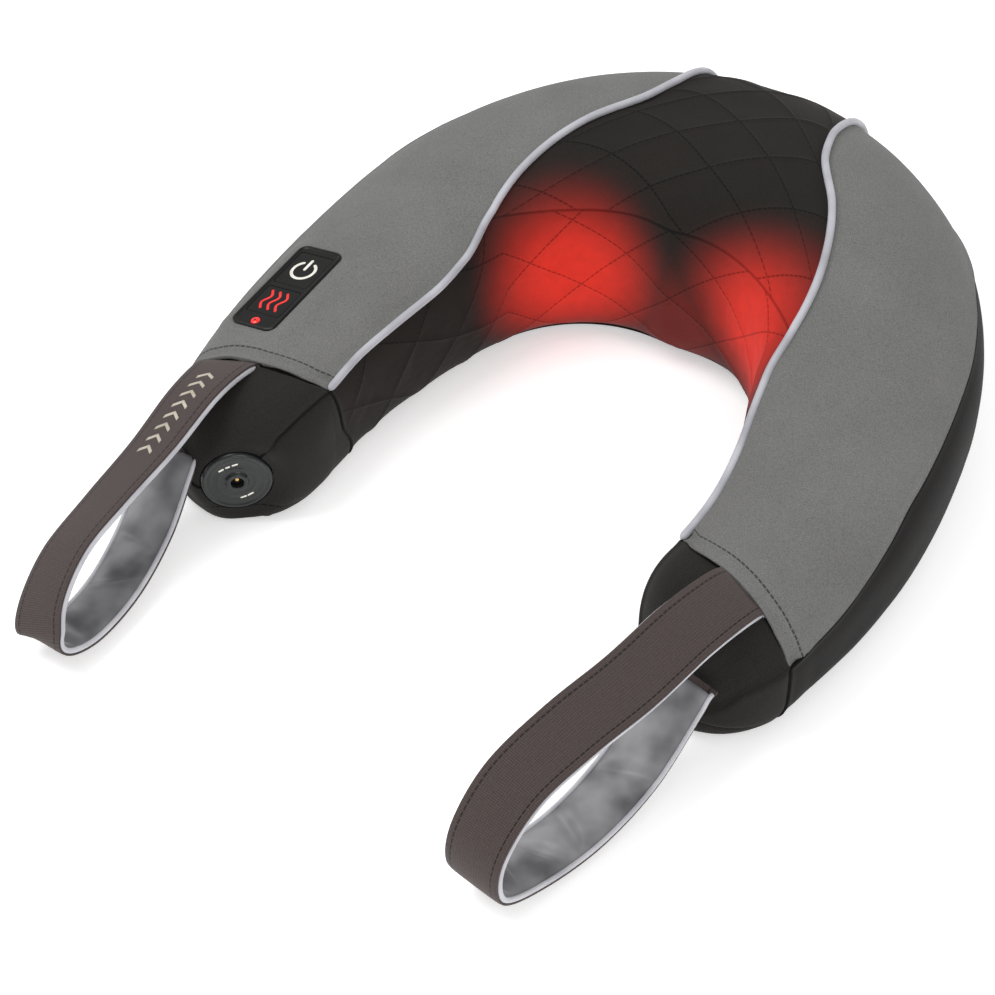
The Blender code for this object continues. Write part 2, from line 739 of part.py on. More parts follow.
def jack_matrix():
    """Frame of the inlet: the middle of its face, with its own Z out of the nose."""
    out = Vector(JACK_DIRECTION).normalized()
    return Matrix.Translation(JACK_FACE) @ out.to_track_quat("Z", "Y").to_matrix().to_4x4()


def jack_cylinder(name, radius, low, high):
    return cylinder(name, None, radius, low, high, jack_matrix(), 24)


def build_jack():
    """Round inlet bezel with a raised centre ring and a sleeve, its socket and contact pin."""
    frame = jack_matrix()
    profile = [
        (0.0034, 0.0016), (0.0052, 0.0016), (0.0058, 0), (0.0140, 0), (0.0152, 0.0007), (0.0164, 0.0004),
        (JACK_RADIUS, -0.0010), (JACK_RADIUS, -JACK_SLEEVE), (JACK_RADIUS - 0.0014, -JACK_SLEEVE),
        (JACK_RADIUS - 0.0014, -0.0022), (0.0034, -0.0022), (0.0034, 0.0016),
    ]
    turned("jack_bezel", "gloss_black", profile, frame, 32)
    rim, bore = 0.0060, 0.0031
    top, bottom = -0.0026, -0.0170
    socket = cylinder("jack_socket", "housing", rim, bottom, top, frame, 20)
    hole = cylinder("socket_bore", None, bore, bottom + 0.0015, top + 0.01, frame, 16)
    boolean(socket, hole, "DIFFERENCE")
    cylinder("jack_contact_pin", "brass", 0.0009, bottom + 0.0018, -0.0010, frame, 10)


def strap_frames(side):
    """Points along a loop's outer face, each with its width direction and inward normal."""
    out = 1 if side == "right" else -1
    root_x, root_y, yaw, path = STRAPS[side]
    turn = Matrix.Rotation(-out * math.radians(yaw), 3, "Z")
    outward = turn @ Vector((out, 0, 0))
    forward = turn @ Vector((0, -1, 0))
    line = []
    for ahead, aside, height, dip in eased(path, STRAP_STEPS):
        spot = Vector((root_x, root_y, height)) + forward * ahead + outward * aside
        line.append((spot, math.radians(dip)))
    frames = []
    for i, (spot, dip) in enumerate(line):
        ahead = (line[min(i + 1, len(line) - 1)][0] - line[max(i - 1, 0)][0]).normalized()
        level = (outward - ahead * outward.dot(ahead)).normalized()
        inward = level.cross(ahead) * out
        across = level * math.cos(dip) + inward * math.sin(dip)
        frames.append((spot, across, inward * math.cos(dip) - level * math.sin(dip)))
    return frames


def band(name, colour, frames, near, far, width):
    """A flat band along a loop, between two depths from its outer face."""
    shares = spaced(-0.5, 0.5, BAND_COLUMNS)
    rings = []
    for spot, across, inward in frames:
        outer = [spot + inward * near + across * width * share for share in shares]
        inner = [spot + inward * far + across * width * share for share in shares]
        rings.append(outer + inner[::-1])
    closed_loft(name, colour, rings)


def build_straps():
    """Closed hand loops: ribbed webbing outside, soft lining inside."""
    for side in STRAPS:
        frames = strap_frames(side)
        band(side + "_strap_webbing", "webbing", frames, 0, WEBBING, STRAP_WIDTH)
        root = frames[0][0]
        lined = [f for f in frames[:-2] if (f[0] - root).length > LINING_START]
        near = WEBBING + LINING_GAP
        width = STRAP_WIDTH - 2 * LINING_SHORT
        band(side + "_strap_lining", "satin", lined, near, near + LINING, width)


def tooth_points(teeth, phase):
    """Outline of a spur gear with straight-sided teeth."""
    pitch = MODULE * teeth / 2
    step = 2 * math.pi / teeth
    outline = []
    for k in range(teeth):
        middle = phase + k * step
        for share, radius in (
            (-0.33, pitch - 1.15 * MODULE), (-0.115, pitch + 0.85 * MODULE),
            (0.115, pitch + 0.85 * MODULE), (0.33, pitch - 1.15 * MODULE),
        ):
            angle = middle + share * step
            outline.append((radius * math.cos(angle), radius * math.sin(angle)))
    return outline


def gear(name, teeth, phase, low, high, matrix, twist=0.0):
    """A gear between two heights on its axis; twist turns its upper face."""

    def build(shape):
        rings = []
        for z, turn in ((low, -twist / 2), (high, twist / 2)):
            rings.append([shape.verts.new((x, y, z)) for x, y in tooth_points(teeth, phase + turn)])
        count = len(rings[0])
        for i in range(count):
            j = (i + 1) % count
            shape.faces.new((rings[0][i], rings[0][j], rings[1][j], rings[1][i]))
        shape.faces.new(rings[0][::-1])
        shape.faces.new(rings[1])

    return place(mesh_from(build, name), name, "gear", matrix, smooth=False)


def train_matrix(sign, offset=0.0):
    """Frame of one canted gear train: X along the train, Y up, Z towards the neck."""
    turn = sign * CANT
    x_axis = Vector((math.cos(turn), -math.sin(turn), 0))
    z_axis = Vector((-math.sin(turn), -math.cos(turn), 0))
    axes = Matrix((x_axis, Vector((0, 0, 1)), z_axis)).transposed().to_4x4()
    start = Vector((0, WORM_Y, HEAD_Z)) + x_axis * offset
    return Matrix.Translation(start) @ axes


def build_worm():
    """Vertical worm: a root cylinder whose radius swells along a helix."""
    root, crest = WORM_PITCH_RADIUS - 1.1 * MODULE, WORM_PITCH_RADIUS + 0.85 * MODULE
    pitch = math.pi * MODULE
    columns, rows = 20, 28

    def radius(angle, height):
        phase = (height / pitch - angle / (2 * math.pi)) % 1
        away = min(phase, 1 - phase)
        lift = min(max((0.33 - away) / (0.33 - 0.115), 0), 1)
        end = min(1, (WORM_LENGTH / 2 - abs(height)) / 0.0015)
        return root + (crest - root) * lift * max(end, 0)

    def build(shape):
        rings = []
        for z in spaced(-WORM_LENGTH / 2, WORM_LENGTH / 2, rows):
            ring = []
            for k in range(columns):
                angle = 2 * math.pi * k / columns
                r = radius(angle, z)
                ring.append(shape.verts.new((r * math.cos(angle), r * math.sin(angle), z)))
            rings.append(ring)
        for low, high in zip(rings, rings[1:]):
            for i in range(columns):
                j = (i + 1) % columns
                shape.faces.new((low[i], low[j], high[j], high[i]))
        shape.faces.new(rings[0])
        shape.faces.new(rings[-1])

    frame = Matrix.Translation((0, WORM_Y, HEAD_Z))
    worm = place(mesh_from(build, "worm"), "worm", "brass", frame)
    bore = cylinder("worm_bore", None, SHAFT_RADIUS + CLEARANCE, -0.03, 0.03, frame, 12)
    boolean(worm, bore, "DIFFERENCE")


def build_motor():
    """Motor can with a boss, its shaft and the shaft's upper bearing."""
    column = Matrix.Translation((0, WORM_Y, 0))
    bore, boss = SHAFT_RADIUS + CLEARANCE, 0.0045
    boss_top = MOTOR_TOP + 0.0020
    profile = [
        (bore, boss_top), (boss, boss_top), (boss, MOTOR_TOP), (MOTOR_RADIUS, MOTOR_TOP),
        (MOTOR_RADIUS, MOTOR_BOTTOM), (bore, MOTOR_BOTTOM), (bore, boss_top),
    ]
    turned("motor_can", "steel", profile, column, 24)
    shaft_bottom, shaft_top = MOTOR_BOTTOM + 0.001, HEAD_Z + 0.0195
    cylinder("motor_shaft", "steel", SHAFT_RADIUS, shaft_bottom, shaft_top, column, 12)
    low, high = HEAD_Z + 0.0120, HEAD_Z + 0.0180
    profile = [(bore, high), (boss, high), (boss, low), (bore, low), (bore, high)]
    turned("shaft_bearing", "brass", profile, column, 16)


def worm_phase(sign):
    """Angle of a wheel tooth that falls between the worm's threads."""
    pitch = math.pi * MODULE
    facing = -CANT if sign > 0 else math.pi + CANT
    crest = pitch * facing / (2 * math.pi)
    height = (crest + pitch / 2) / (MODULE * WHEEL_TEETH / 2)
    return math.pi - height if sign > 0 else height


def build_train(side, sign):
    """One side's worm wheel, pinion, head gear and two-node massage rotor."""
    middle = train_matrix(sign, sign * WHEEL_X)
    twist = WHEEL_WIDTH * math.tan(LEAD_ANGLE) / (MODULE * WHEEL_TEETH / 2)
    half = WHEEL_WIDTH / 2
    wheel = gear(side + "_worm_wheel", WHEEL_TEETH, worm_phase(sign), -half, half, middle, twist)
    boolean(wheel, cylinder(side + "_wheel_bore", None, 0.0040, -0.02, 0.02, middle, 16), "DIFFERENCE")
    pinion = gear(side + "_pinion", PINION_TEETH, 0, PINION_Z, PINION_Z + PINION_WIDTH, middle)
    spindle = cylinder(side + "_spindle", None, 0.0037, -half - 0.001, PINION_Z + 0.002, middle, 16)
    boolean(pinion, spindle, "UNION")
    bore = cylinder(side + "_pinion_bore", None, AXLE_RADIUS + CLEARANCE, -0.03, 0.03, middle, 16)
    boolean(pinion, bore, "DIFFERENCE")
    front, rear = FRONT_PLATE_Z + PLATE, REAR_PLATE_Z - PLATE
    cylinder(
        side + "_pinion_axle", "steel", AXLE_RADIUS, rear + 0.0005, front - CLEARANCE, middle, 14
    )

    head = train_matrix(sign, sign * HEAD_X)
    phase = math.pi * (1 + 1 / HEAD_TEETH) if sign > 0 else math.pi / HEAD_TEETH
    top = PINION_Z + PINION_WIDTH
    wheel = gear(side + "_head_gear", HEAD_TEETH, phase, PINION_Z + 0.0005, top - 0.0004, head)
    hub = cylinder(
        side + "_hub", None, HUB_RADIUS, PINION_Z + 0.001, ROTOR_Z - CLEARANCE, head, 18
    )
    boolean(wheel, hub, "UNION")
    bore = cylinder(
        side + "_hub_bore", None, HEAD_AXLE_RADIUS + CLEARANCE, -0.03, 0.05, head, 16
    )
    boolean(wheel, bore, "DIFFERENCE")
    low, high = rear + 0.0005, ROTOR_Z + 0.0045
    cylinder(side + "_head_axle", "steel", HEAD_AXLE_RADIUS, low, high, head, 16)
    low, high = ROTOR_Z, ROTOR_Z + ROTOR_PLATE
    rotor = cylinder(side + "_rotor_plate", "housing", ROTOR_RADIUS, low, high, head, 36)
    bore = cylinder(side + "_rotor_bore", None, 0.0072, -0.03, 0.05, head, 18)
    boolean(rotor, bore, "DIFFERENCE")
    lens = [
        (0, ROTOR_Z + 0.0095), (0.0045, ROTOR_Z + 0.0085), (0.0066, ROTOR_Z + 0.0060),
        (0.0066, ROTOR_Z + 0.0048), (0, ROTOR_Z + 0.0048),
    ]
    turned(side + "_heat_lens", "red_lens", lens, head, 18)
    for number, turn in (("1", 0), ("2", math.pi)):
        spot = head @ Matrix.Rotation(turn + sign * math.radians(20), 4, "Z")
        spot = spot @ Matrix.Translation((NODE_OFFSET, 0, 0))
        base = ROTOR_Z + ROTOR_PLATE + CLEARANCE
        dome = [
            (NODE_RADIUS * math.sin(a), base + NODE_HEIGHT * math.cos(a) ** 0.8)
            for a in spaced(0, math.pi / 2, 5)
        ]
        dome[-1] = (NODE_RADIUS, base)
        turned(side + "_massage_node_" + number, "node", dome + [(0, base)], spot, 20)


def plate_outline(depth):
    """Plan outline of a plate bent at X = 0 to follow both canted trains."""
    outline = []
    for level, order in ((depth, 1), (depth + PLATE, -1)):
        row = []
        for sign, reach in ((-1, PLATE_REACH), (0, 0), (1, PLATE_REACH)):
            if sign == 0:
                row.append(Vector((0, WORM_Y - level / math.cos(CANT), 0)))
                continue
            spot = train_matrix(sign) @ Vector((sign * reach, 0, level))
            row.append(Vector((spot.x, spot.y, 0)))
        outline += row[::order]
    return outline


def build_plates():
    """The two bent plates of the gearbox, with posts and four screws."""
    plates = {}
    depths = {"front_gear_plate": FRONT_PLATE_Z, "rear_gear_plate": REAR_PLATE_Z - PLATE}
    for name, depth in depths.items():
        outline = plate_outline(depth)
        rings = [[p + Vector((0, 0, z)) for p in outline] for z in (PLATE_BOTTOM, PLATE_TOP)]
        plates[name] = closed_loft(name, "housing", rings)
    for sign, side in ((-1, "left"), (1, "right")):
        for offset, radius in ((WHEEL_X, AXLE_RADIUS), (HEAD_X, HUB_RADIUS)):
            radius += CLEARANCE
            spot = train_matrix(sign, sign * offset)
            hole = cylinder(side + "_front_hole", None, radius, 0.008, 0.03, spot, 18)
            boolean(plates["front_gear_plate"], hole, "DIFFERENCE")
        for offset, radius in ((WHEEL_X, AXLE_RADIUS), (HEAD_X, HEAD_AXLE_RADIUS)):
            radius += CLEARANCE
            spot = train_matrix(sign, sign * offset)
            hole = cylinder(side + "_rear_hole", None, radius, -0.03, -0.008, spot, 18)
            boolean(plates["rear_gear_plate"], hole, "DIFFERENCE")
        for level, rise in (("lower", -POST_RISE), ("upper", POST_RISE)):
            spot = train_matrix(sign, sign * POST_REACH) @ Matrix.Translation((0, rise, 0))
            low, high = REAR_PLATE_Z - 0.001, FRONT_PLATE_Z - CLEARANCE
            post = cylinder(side + level + "_post", None, 0.0035, low, high, spot, 14)
            boolean(plates["rear_gear_plate"], post, "UNION")
            bore = cylinder(side + level + "_post_bore", None, 0.0016, 0.0, 0.03, spot, 12)
            boolean(plates["rear_gear_plate"], bore, "DIFFERENCE")
            boolean(plates["front_gear_plate"], bore, "DIFFERENCE")
            top = FRONT_PLATE_Z + PLATE + CLEARANCE
            profile = [
                (0, top + 0.0018), (0.0020, top + 0.0016), (0.0028, top + 0.0004), (0.0028, top),
                (0.0013, top), (0.0013, 0.0010), (0, 0.0010),
            ]
            turned(side + "_" + level + "_screw", "steel", profile, spot, 14)


def centre_on_frame():
    """Hang every piece and cutter on one empty that sets the object's origin."""
    anchor = bpy.data.objects.new("frame_anchor", None)
    PARTS.objects.link(anchor)
    anchor.location = FRAME_SHIFT
    for piece in list(PARTS.objects) + list(CUTTERS.objects):
        if piece != anchor:
            piece.parent = anchor


build_base()
build_cover()
build_foam()
build_controls()
build_jack()
build_leads()
build_straps()
build_worm()
build_motor()
build_plates()
for side_name, side_sign in (("left", -1), ("right", 1)):
    build_train(side_name, side_sign)
centre_on_frame()
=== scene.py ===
"""Looks of the shiatsu neck massager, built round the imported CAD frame."""

import json
import math

import bmesh
import bpy
import numpy as np
from mathutils import Matrix, Vector
from mathutils.kdtree import KDTree


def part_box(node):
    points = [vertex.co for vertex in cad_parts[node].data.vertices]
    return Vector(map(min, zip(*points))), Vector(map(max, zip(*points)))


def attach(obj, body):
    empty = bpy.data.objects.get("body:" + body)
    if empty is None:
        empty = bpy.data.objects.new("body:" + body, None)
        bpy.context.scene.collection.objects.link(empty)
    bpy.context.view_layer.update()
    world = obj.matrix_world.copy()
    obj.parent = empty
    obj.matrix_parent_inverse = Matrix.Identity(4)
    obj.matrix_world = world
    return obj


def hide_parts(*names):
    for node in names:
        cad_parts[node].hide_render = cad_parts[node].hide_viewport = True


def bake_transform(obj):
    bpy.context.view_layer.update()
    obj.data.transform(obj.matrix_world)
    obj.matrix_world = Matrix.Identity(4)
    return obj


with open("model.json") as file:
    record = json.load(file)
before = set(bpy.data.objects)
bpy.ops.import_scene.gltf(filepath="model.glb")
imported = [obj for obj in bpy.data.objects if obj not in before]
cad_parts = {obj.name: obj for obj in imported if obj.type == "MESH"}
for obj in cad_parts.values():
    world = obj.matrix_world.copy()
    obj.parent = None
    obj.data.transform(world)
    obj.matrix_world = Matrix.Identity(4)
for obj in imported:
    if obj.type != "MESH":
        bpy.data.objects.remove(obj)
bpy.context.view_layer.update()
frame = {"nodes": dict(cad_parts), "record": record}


# ---- cushion shape
# The same plan and section as the CAD: stations 0 (neck middle) to 1 (hem), then the nose to 2.
MM = 0.001
STATIONS = (0, 0.3, 0.65, 1)
HALF_WIDTHS = (0.0762, 0.0608, 0.0494, 0.0396)
HEIGHTS = (0.1061, 0.1004, 0.0756, 0.0650)
BACK_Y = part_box("outer_wall_panel")[1][1] - HALF_WIDTHS[0]
NECK_RADIUS = 0.1219
NECK_TURN = math.radians(72.8)
ARM_RADIUS = 0.3505
ARM_TURN = math.radians(24.6)
ARM_LENGTH = NECK_RADIUS * NECK_TURN + ARM_RADIUS * ARM_TURN
NOSE_LENGTH = 0.0449
WAIST = 0.448
OUTER_TOP_POWER = 2.41
INNER_TOP_POWER = 3.10
BOTTOM_POWER = 4.16
PLAN_POWER = 2.24
FALL_POWER = 2.78
PIPING = (
    (0.085, 4), (0.093, 35), (0.104, 55), (0.125, 73), (0.170, 88), (0.255, 99), (0.350, 110),
    (0.440, 119), (0.530, 128), (0.605, 137), (0.690, 140.5), (0.790, 139.5), (0.890, 138.5),
    (1, 141),
)
GUSSET = (
    (0, 2.4), (0.085, 3), (0.2, 16), (0.3, 27), (0.395, 35),
    (0.74, 36.5), (0.8, 33), (0.85, 29), (0.91, 23), (1, 15.5),
)
INNER_SEAM_ANGLES = (147, 128)
INNER_SEAM_END = 0.530
INNER_SEAM_POWER = 3.2
LOWER_ANGLE = 50
# The hem's distance forward of the arm's end, by section angle.
HEM_LINES = {
    -1: (
        (54, 0.0021), (70, 0), (127, -0.0024), (139, -0.0058),
        (174, -0.0085), (201, -0.0155), (230, -0.0200),
    ),
    1: (
        (38, 0.0160), (56, 0.0139), (94, 0.0063), (128, 0.0012),
        (140, -0.0050), (174, -0.0085), (230, -0.0200),
    ),
}
HEM_REACH = 0.090
# Nose seams: (share of the nose, degrees up from the side).
NOSE_SEAMS = {
    (-1, "outer"): ((0, 15.5), (0.6, 11), (0.85, 3), (1, -12)),
    (-1, "inner"): ((0, 37), (0.44, 40), (0.7, 38), (0.85, 26), (1, -12)),
    (1, "outer"): ((0, 15.5), (0.375, 12), (0.64, 6), (0.81, -10), (1, -25)),
    (1, "inner"): ((0, 37), (0.4, 30), (0.7, 12), (0.85, -10), (1, -25)),
}


NECK_EASE = 0.05  # share of the arm over which the section eases round the neck's middle


def section_value(values, s):
    return np.polyval(np.polyfit(STATIONS, values, 3), np.sqrt(s * s + NECK_EASE**2))


def hermite(t, start, leaving, end, arriving):
    """Cubic from start to end with the slopes it leaves and arrives with."""
    return (
        start * (2 * t**3 - 3 * t**2 + 1) + leaving * (t**3 - 2 * t**2 + t)
        + end * (3 * t**2 - 2 * t**3) + arriving * (t**3 - t**2)
    )


def smooth_interp(x, knots):
    """Monotone smooth curve through knots (x, y), level past its ends."""
    xs, ys = (np.array(v, float) for v in zip(*knots))
    slope = np.diff(ys) / np.diff(xs)
    same_way = slope[1:] * slope[:-1] > 0
    inverse = 1 / np.where(same_way, slope[1:], 1) + 1 / np.where(same_way, slope[:-1], 1)
    grad = np.concatenate([[slope[0]], np.where(same_way, 2 / inverse, 0), [slope[-1]]])
    x = np.clip(np.asarray(x, float), xs[0], xs[-1])
    i = np.clip(np.searchsorted(xs, x, side="right") - 1, 0, len(xs) - 2)
    h = xs[i + 1] - xs[i]
    t = (x - xs[i]) / h
    return hermite(t, ys[i], grad[i] * h, ys[i + 1], grad[i + 1] * h)


def centre(s):
    """Centreline x, y and heading at shares s of the arm's length."""
    run = s * ARM_LENGTH
    turn = np.minimum(run / NECK_RADIUS, NECK_TURN)
    heading = turn + np.maximum(run - NECK_RADIUS * NECK_TURN, 0) / ARM_RADIUS
    x = NECK_RADIUS * np.sin(turn) + ARM_RADIUS * (np.sin(heading) - np.sin(turn))
    y = BACK_Y - NECK_RADIUS * (1 - np.cos(turn)) - ARM_RADIUS * (np.cos(turn) - np.cos(heading))
    return x, y, heading


def slanted(s, degrees):
    """Station and nose share of points, moved with the hem's slant."""
    reach = np.abs(s)
    shift = np.where(s < 0, *(smooth_interp(degrees, HEM_LINES[sign]) for sign in (-1, 1)))
    ease = np.clip(1 - (1 - reach) * ARM_LENGTH / HEM_REACH, 0, 1)
    before = reach * ARM_LENGTH + shift * ease * ease * (3 - 2 * ease)
    past = ARM_LENGTH + shift + (NOSE_LENGTH - shift) * (np.minimum(reach, 2) - 1)
    run = np.where(reach > 1, past, before)
    return np.minimum(run / ARM_LENGTH, 1), np.clip((run - ARM_LENGTH) / NOSE_LENGTH, 0, 1)


def surface(s, degrees, inset=0.0):
    """Plain cushion surface; |s| past 1 is the nose, s < 0 the left arm."""
    s, degrees, inset = np.broadcast_arrays(
        np.asarray(s, float), np.asarray(degrees, float), np.asarray(inset, float)
    )
    along, nose = slanted(s, degrees)
    x, y, heading = centre(along)
    angle = np.radians(degrees)
    c, u = np.cos(angle), np.sin(angle)
    top = np.where(c > 0, OUTER_TOP_POWER, INNER_TOP_POWER)
    power = np.where(u > 0, top, BOTTOM_POWER)
    reach = (np.abs(c) ** power + np.abs(u) ** power) ** (-1 / power)
    high = section_value(HEIGHTS, along)
    waist = WAIST * high
    narrow = np.maximum(1 - nose**PLAN_POWER, 0) ** (1 / PLAN_POWER)
    fall = np.maximum(1 - nose**FALL_POWER, 0) ** (1 / FALL_POWER)
    forward = (NOSE_LENGTH - inset) * nose
    lateral = (section_value(HALF_WIDTHS, along) - inset) * narrow * c * reach
    z = waist + np.where(u > 0, (high - inset - waist) * fall, waist - inset) * u * reach
    x = x + forward * np.cos(heading) + lateral * np.sin(heading)
    y = y - forward * np.sin(heading) + lateral * np.cos(heading)
    return np.stack([np.where(s < 0, -x, x), y, z], -1)


def piping_angle(s):
    return smooth_interp(np.abs(s), PIPING)


def gusset_angle(s):
    return smooth_interp(np.abs(s), GUSSET)


def inner_seam_angle(s):
    high, low = INNER_SEAM_ANGLES
    arc = high + (low - high) * (np.abs(s) / INNER_SEAM_END) ** INNER_SEAM_POWER
    return np.where(np.abs(s) >= INNER_SEAM_END, piping_angle(s), arc)


def nose_seam_angle(side, face, s):
    return smooth_interp(np.abs(s) - 1, NOSE_SEAMS[side, face])


# ---- mesh helpers
def new_object(name, data):
    made = bpy.data.objects.new(name, data)
    bpy.context.scene.collection.objects.link(made)
    return made


def remesh(piece, voxel):
    even = piece.modifiers.new("even", "REMESH")
    even.mode = "VOXEL"
    even.voxel_size = voxel


def evaluated(piece):
    return piece.evaluated_get(bpy.context.evaluated_depsgraph_get())


def apply_modifiers(piece):
    """Makes the modified mesh the piece's own, with no modifier left."""
    bpy.context.view_layer.update()
    mesh = bpy.data.meshes.new_from_object(evaluated(piece))
    piece.modifiers.clear()
    piece.data = mesh


def sharpen(piece, degrees):
    piece.data.set_sharp_from_angle(angle=math.radians(degrees))


def placed(points, matrix):
    """Points of a frame in the object's coordinates."""
    return points @ np.array(matrix.to_3x3()).T + np.array(matrix.translation)


def seen_from(points, matrix):
    """Points of the object in a frame's coordinates."""
    return (points - np.array(matrix.translation)) @ np.array(matrix.to_3x3())


def smoothstep(t):
    return t * t * (3 - 2 * t)


def circle(count):
    """Cosines and sines of even steps round a circle."""
    turns = np.arange(count) * 2 * math.pi / count
    return np.cos(turns), np.sin(turns)


def unit(vectors):
    return vectors / np.linalg.norm(vectors, axis=-1, keepdims=True)


def mesh_object(name, points, faces, material, uv=None, closed=False, seam=None):
    """A smooth-shaded object; each point may have a UV and its distance from the nearest seam."""
    mesh = bpy.data.meshes.new(name)
    mesh.from_pydata([tuple(p) for p in points], [], [tuple(f) for f in faces])
    mesh.validate()
    if uv is not None:
        layer = mesh.uv_layers.new(name="cloth")
        index = np.zeros(len(mesh.loops), int)
        mesh.loops.foreach_get("vertex_index", index)
        layer.data.foreach_set("uv", np.asarray(uv, np.float32)[index].ravel())
    if seam is not None:
        mesh.attributes.new("seam", "FLOAT", "POINT").data.foreach_set("value", seam.ravel())
    if closed:
        shape = bmesh.new()
        shape.from_mesh(mesh)
        bmesh.ops.recalc_face_normals(shape, faces=shape.faces)
        shape.to_mesh(mesh)
        shape.free()
    mesh.shade_smooth()
    mesh.materials.append(material)
    return new_object(name, mesh)


def grid_faces(rows, columns, wrap=False):
    """Quads of a grid of points numbered row by row."""
    i, j = np.meshgrid(
        np.arange(rows - 1), np.arange(columns if wrap else columns - 1), indexing="ij"
    )
    a = i * columns + j
    b = i * columns + (j + 1) % columns
    return np.stack([a, b, b + columns, a + columns], -1).reshape(-1, 4)


def grid_normals(grid):
    """Unit normals of a grid of points; a row drawn together takes its neighbour's."""
    normal = np.cross(np.gradient(grid, axis=0), np.gradient(grid, axis=1))
    size = np.linalg.norm(normal, axis=-1, keepdims=True)
    normal = normal / np.maximum(size, 1e-14)
    for row, beside in ((0, 2), (1, 2), (-1, -3), (-2, -3)):
        if size[row].max() < 1e-8:
            normal[row] = normal[beside]
    return normal


def run_length(grid, axis):
    """Distance along the grid from its first row or column."""
    total = np.cumsum(np.linalg.norm(np.diff(grid, axis=axis), axis=-1), axis=axis)
    pad = [(0, 0), (0, 0)]
    pad[axis] = (1, 0)
    return np.pad(total, pad)


def hashed(n):
    """Repeatable pseudo-random value in 0..1 for whole numbers."""
    value = np.sin(n * 12.9898 + 4.1414) * 43758.5453
    return value - np.floor(value)


def lumps(points, scale, seed=0):
    """Smooth value noise at points, -1 to 1."""
    p = np.asarray(points) / scale + seed * 17.31
    cell = np.floor(p)
    f = smoothstep(p - cell)
    total = 0
    for corner in np.ndindex(2, 2, 2):
        spot = cell + corner
        value = hashed(spot[..., 0] + 57.0 * spot[..., 1] + 113.0 * spot[..., 2])
        weight = np.prod(np.where(np.array(corner) == 1, f, 1 - f), axis=-1)
        total = total + value * weight
    return total * 2 - 1


def valley(distance, width):
    return np.exp(-((distance / width) ** 2))


# ---- simulated fullness
SIM_VOXEL = 5 * MM
SIM_PRESSURE = 4.0
SIM_FRAMES = 20
SIM_CAP = 2.2 * MM
SIM_HOLD = 5 * MM  # how far from a seam the cloth is still held
SIM_NEIGHBOURS = 4
SIM_STIFFNESS = 12
SIM_BENDING = 0.6
SIM_MASS = 0.3
SIM_QUALITY = 6


def seam_points():
    """Points along every seam of the cover, which hold the cloth down."""
    body = np.linspace(0, 1, 200)
    tip = np.linspace(1, 1.999, 60)
    neck = body[body <= INNER_SEAM_END]
    lines = []
    lower = (-LOWER_ANGLE, 180 + LOWER_ANGLE)
    for sign in (-1, 1):
        seams = [
            (body[17:], piping_angle(body[17:])), (body, gusset_angle(body)),
            (neck, inner_seam_angle(neck)), (1, np.linspace(*lower, 120)),
            (tip, nose_seam_angle(sign, "outer", tip)),
            (tip, 180 - nose_seam_angle(sign, "inner", tip)),
        ]
        seams += [(run, angle) for angle in (*lower, -90) for run in (body, tip)]
        lines += [surface(sign * run, degrees).reshape(-1, 3) for run, degrees in seams]
    return np.concatenate(lines)


def tree_of(points):
    tree = KDTree(len(points))
    for index, point in enumerate(points):
        tree.insert(point, index)
    tree.balance()
    return tree


def simulate_fullness():
    """Blows the closed cover up as cloth held at its seams; where it was and how far it moved."""
    stations = np.linspace(-1.97, 1.97, 331)
    around = np.linspace(0, 360, 121)[:-1]
    rings = surface(stations[:, None], (around[None, :] + 90) % 360 - 90)
    body = swept("cover_blank", rings, bpy.data.materials.new("blank"))
    remesh(body, SIM_VOXEL)
    apply_modifiers(body)
    start = np.array([v.co for v in body.data.vertices])
    seams = tree_of(seam_points())
    held = body.vertex_groups.new(name="held")
    for index, spot in enumerate(start):
        gap = seams.find(spot)[2]
        held.add([index], max(0.0, 1 - gap / SIM_HOLD), "REPLACE")
    cloth = body.modifiers.new("cloth", "CLOTH")
    settings = cloth.settings
    settings.quality = SIM_QUALITY
    settings.mass = SIM_MASS
    settings.tension_stiffness = settings.compression_stiffness = SIM_STIFFNESS
    settings.bending_stiffness = SIM_BENDING
    settings.use_pressure = True
    settings.uniform_pressure_force = SIM_PRESSURE
    settings.effector_weights.gravity = 0
    settings.vertex_group_mass = "held"
    cloth.collision_settings.use_collision = False
    cloth.point_cache.frame_end = SIM_FRAMES
    for frame_number in range(1, SIM_FRAMES + 1):
        bpy.context.scene.frame_set(frame_number)
    moved = np.array([v.co for v in evaluated(body).data.vertices]) - start
    bpy.context.scene.frame_set(1)
    bpy.data.objects.remove(body, do_unlink=True)
    size = np.linalg.norm(moved, axis=1, keepdims=True)
    moved *= SIM_CAP * np.tanh(size / SIM_CAP) / np.maximum(size, 1e-9)
    return tree_of(start), moved


def fullness(grid):
    """How far the simulated cover moved at the points of a panel."""
    if FULLNESS is None:
        return np.zeros_like(grid)
    tree, moved = FULLNESS
    rows = []
    for point in grid.reshape(-1, 3):
        near = tree.find_n(point, SIM_NEIGHBOURS)
        weights = [1 / (found[2] + 1e-5) ** 2 for found in near]
        total = sum(weights)
        rows.append(sum(moved[found[1]] * (share / total) for found, share in zip(near, weights)))
    return np.array(rows).reshape(grid.shape)


# ---- sewn cloth
SEAM_DEPTH = 1.1 * MM
SEAM_WIDTH = 2.0 * MM
PUFF = 0.5 * MM
PUFF_WIDTH = 14 * MM
CLOTH = 1.0 * MM
QUILT_FADE = 7 * MM  # reach of a border over which the quilting dies away
BORDERS = ("low", "high", "start", "end")


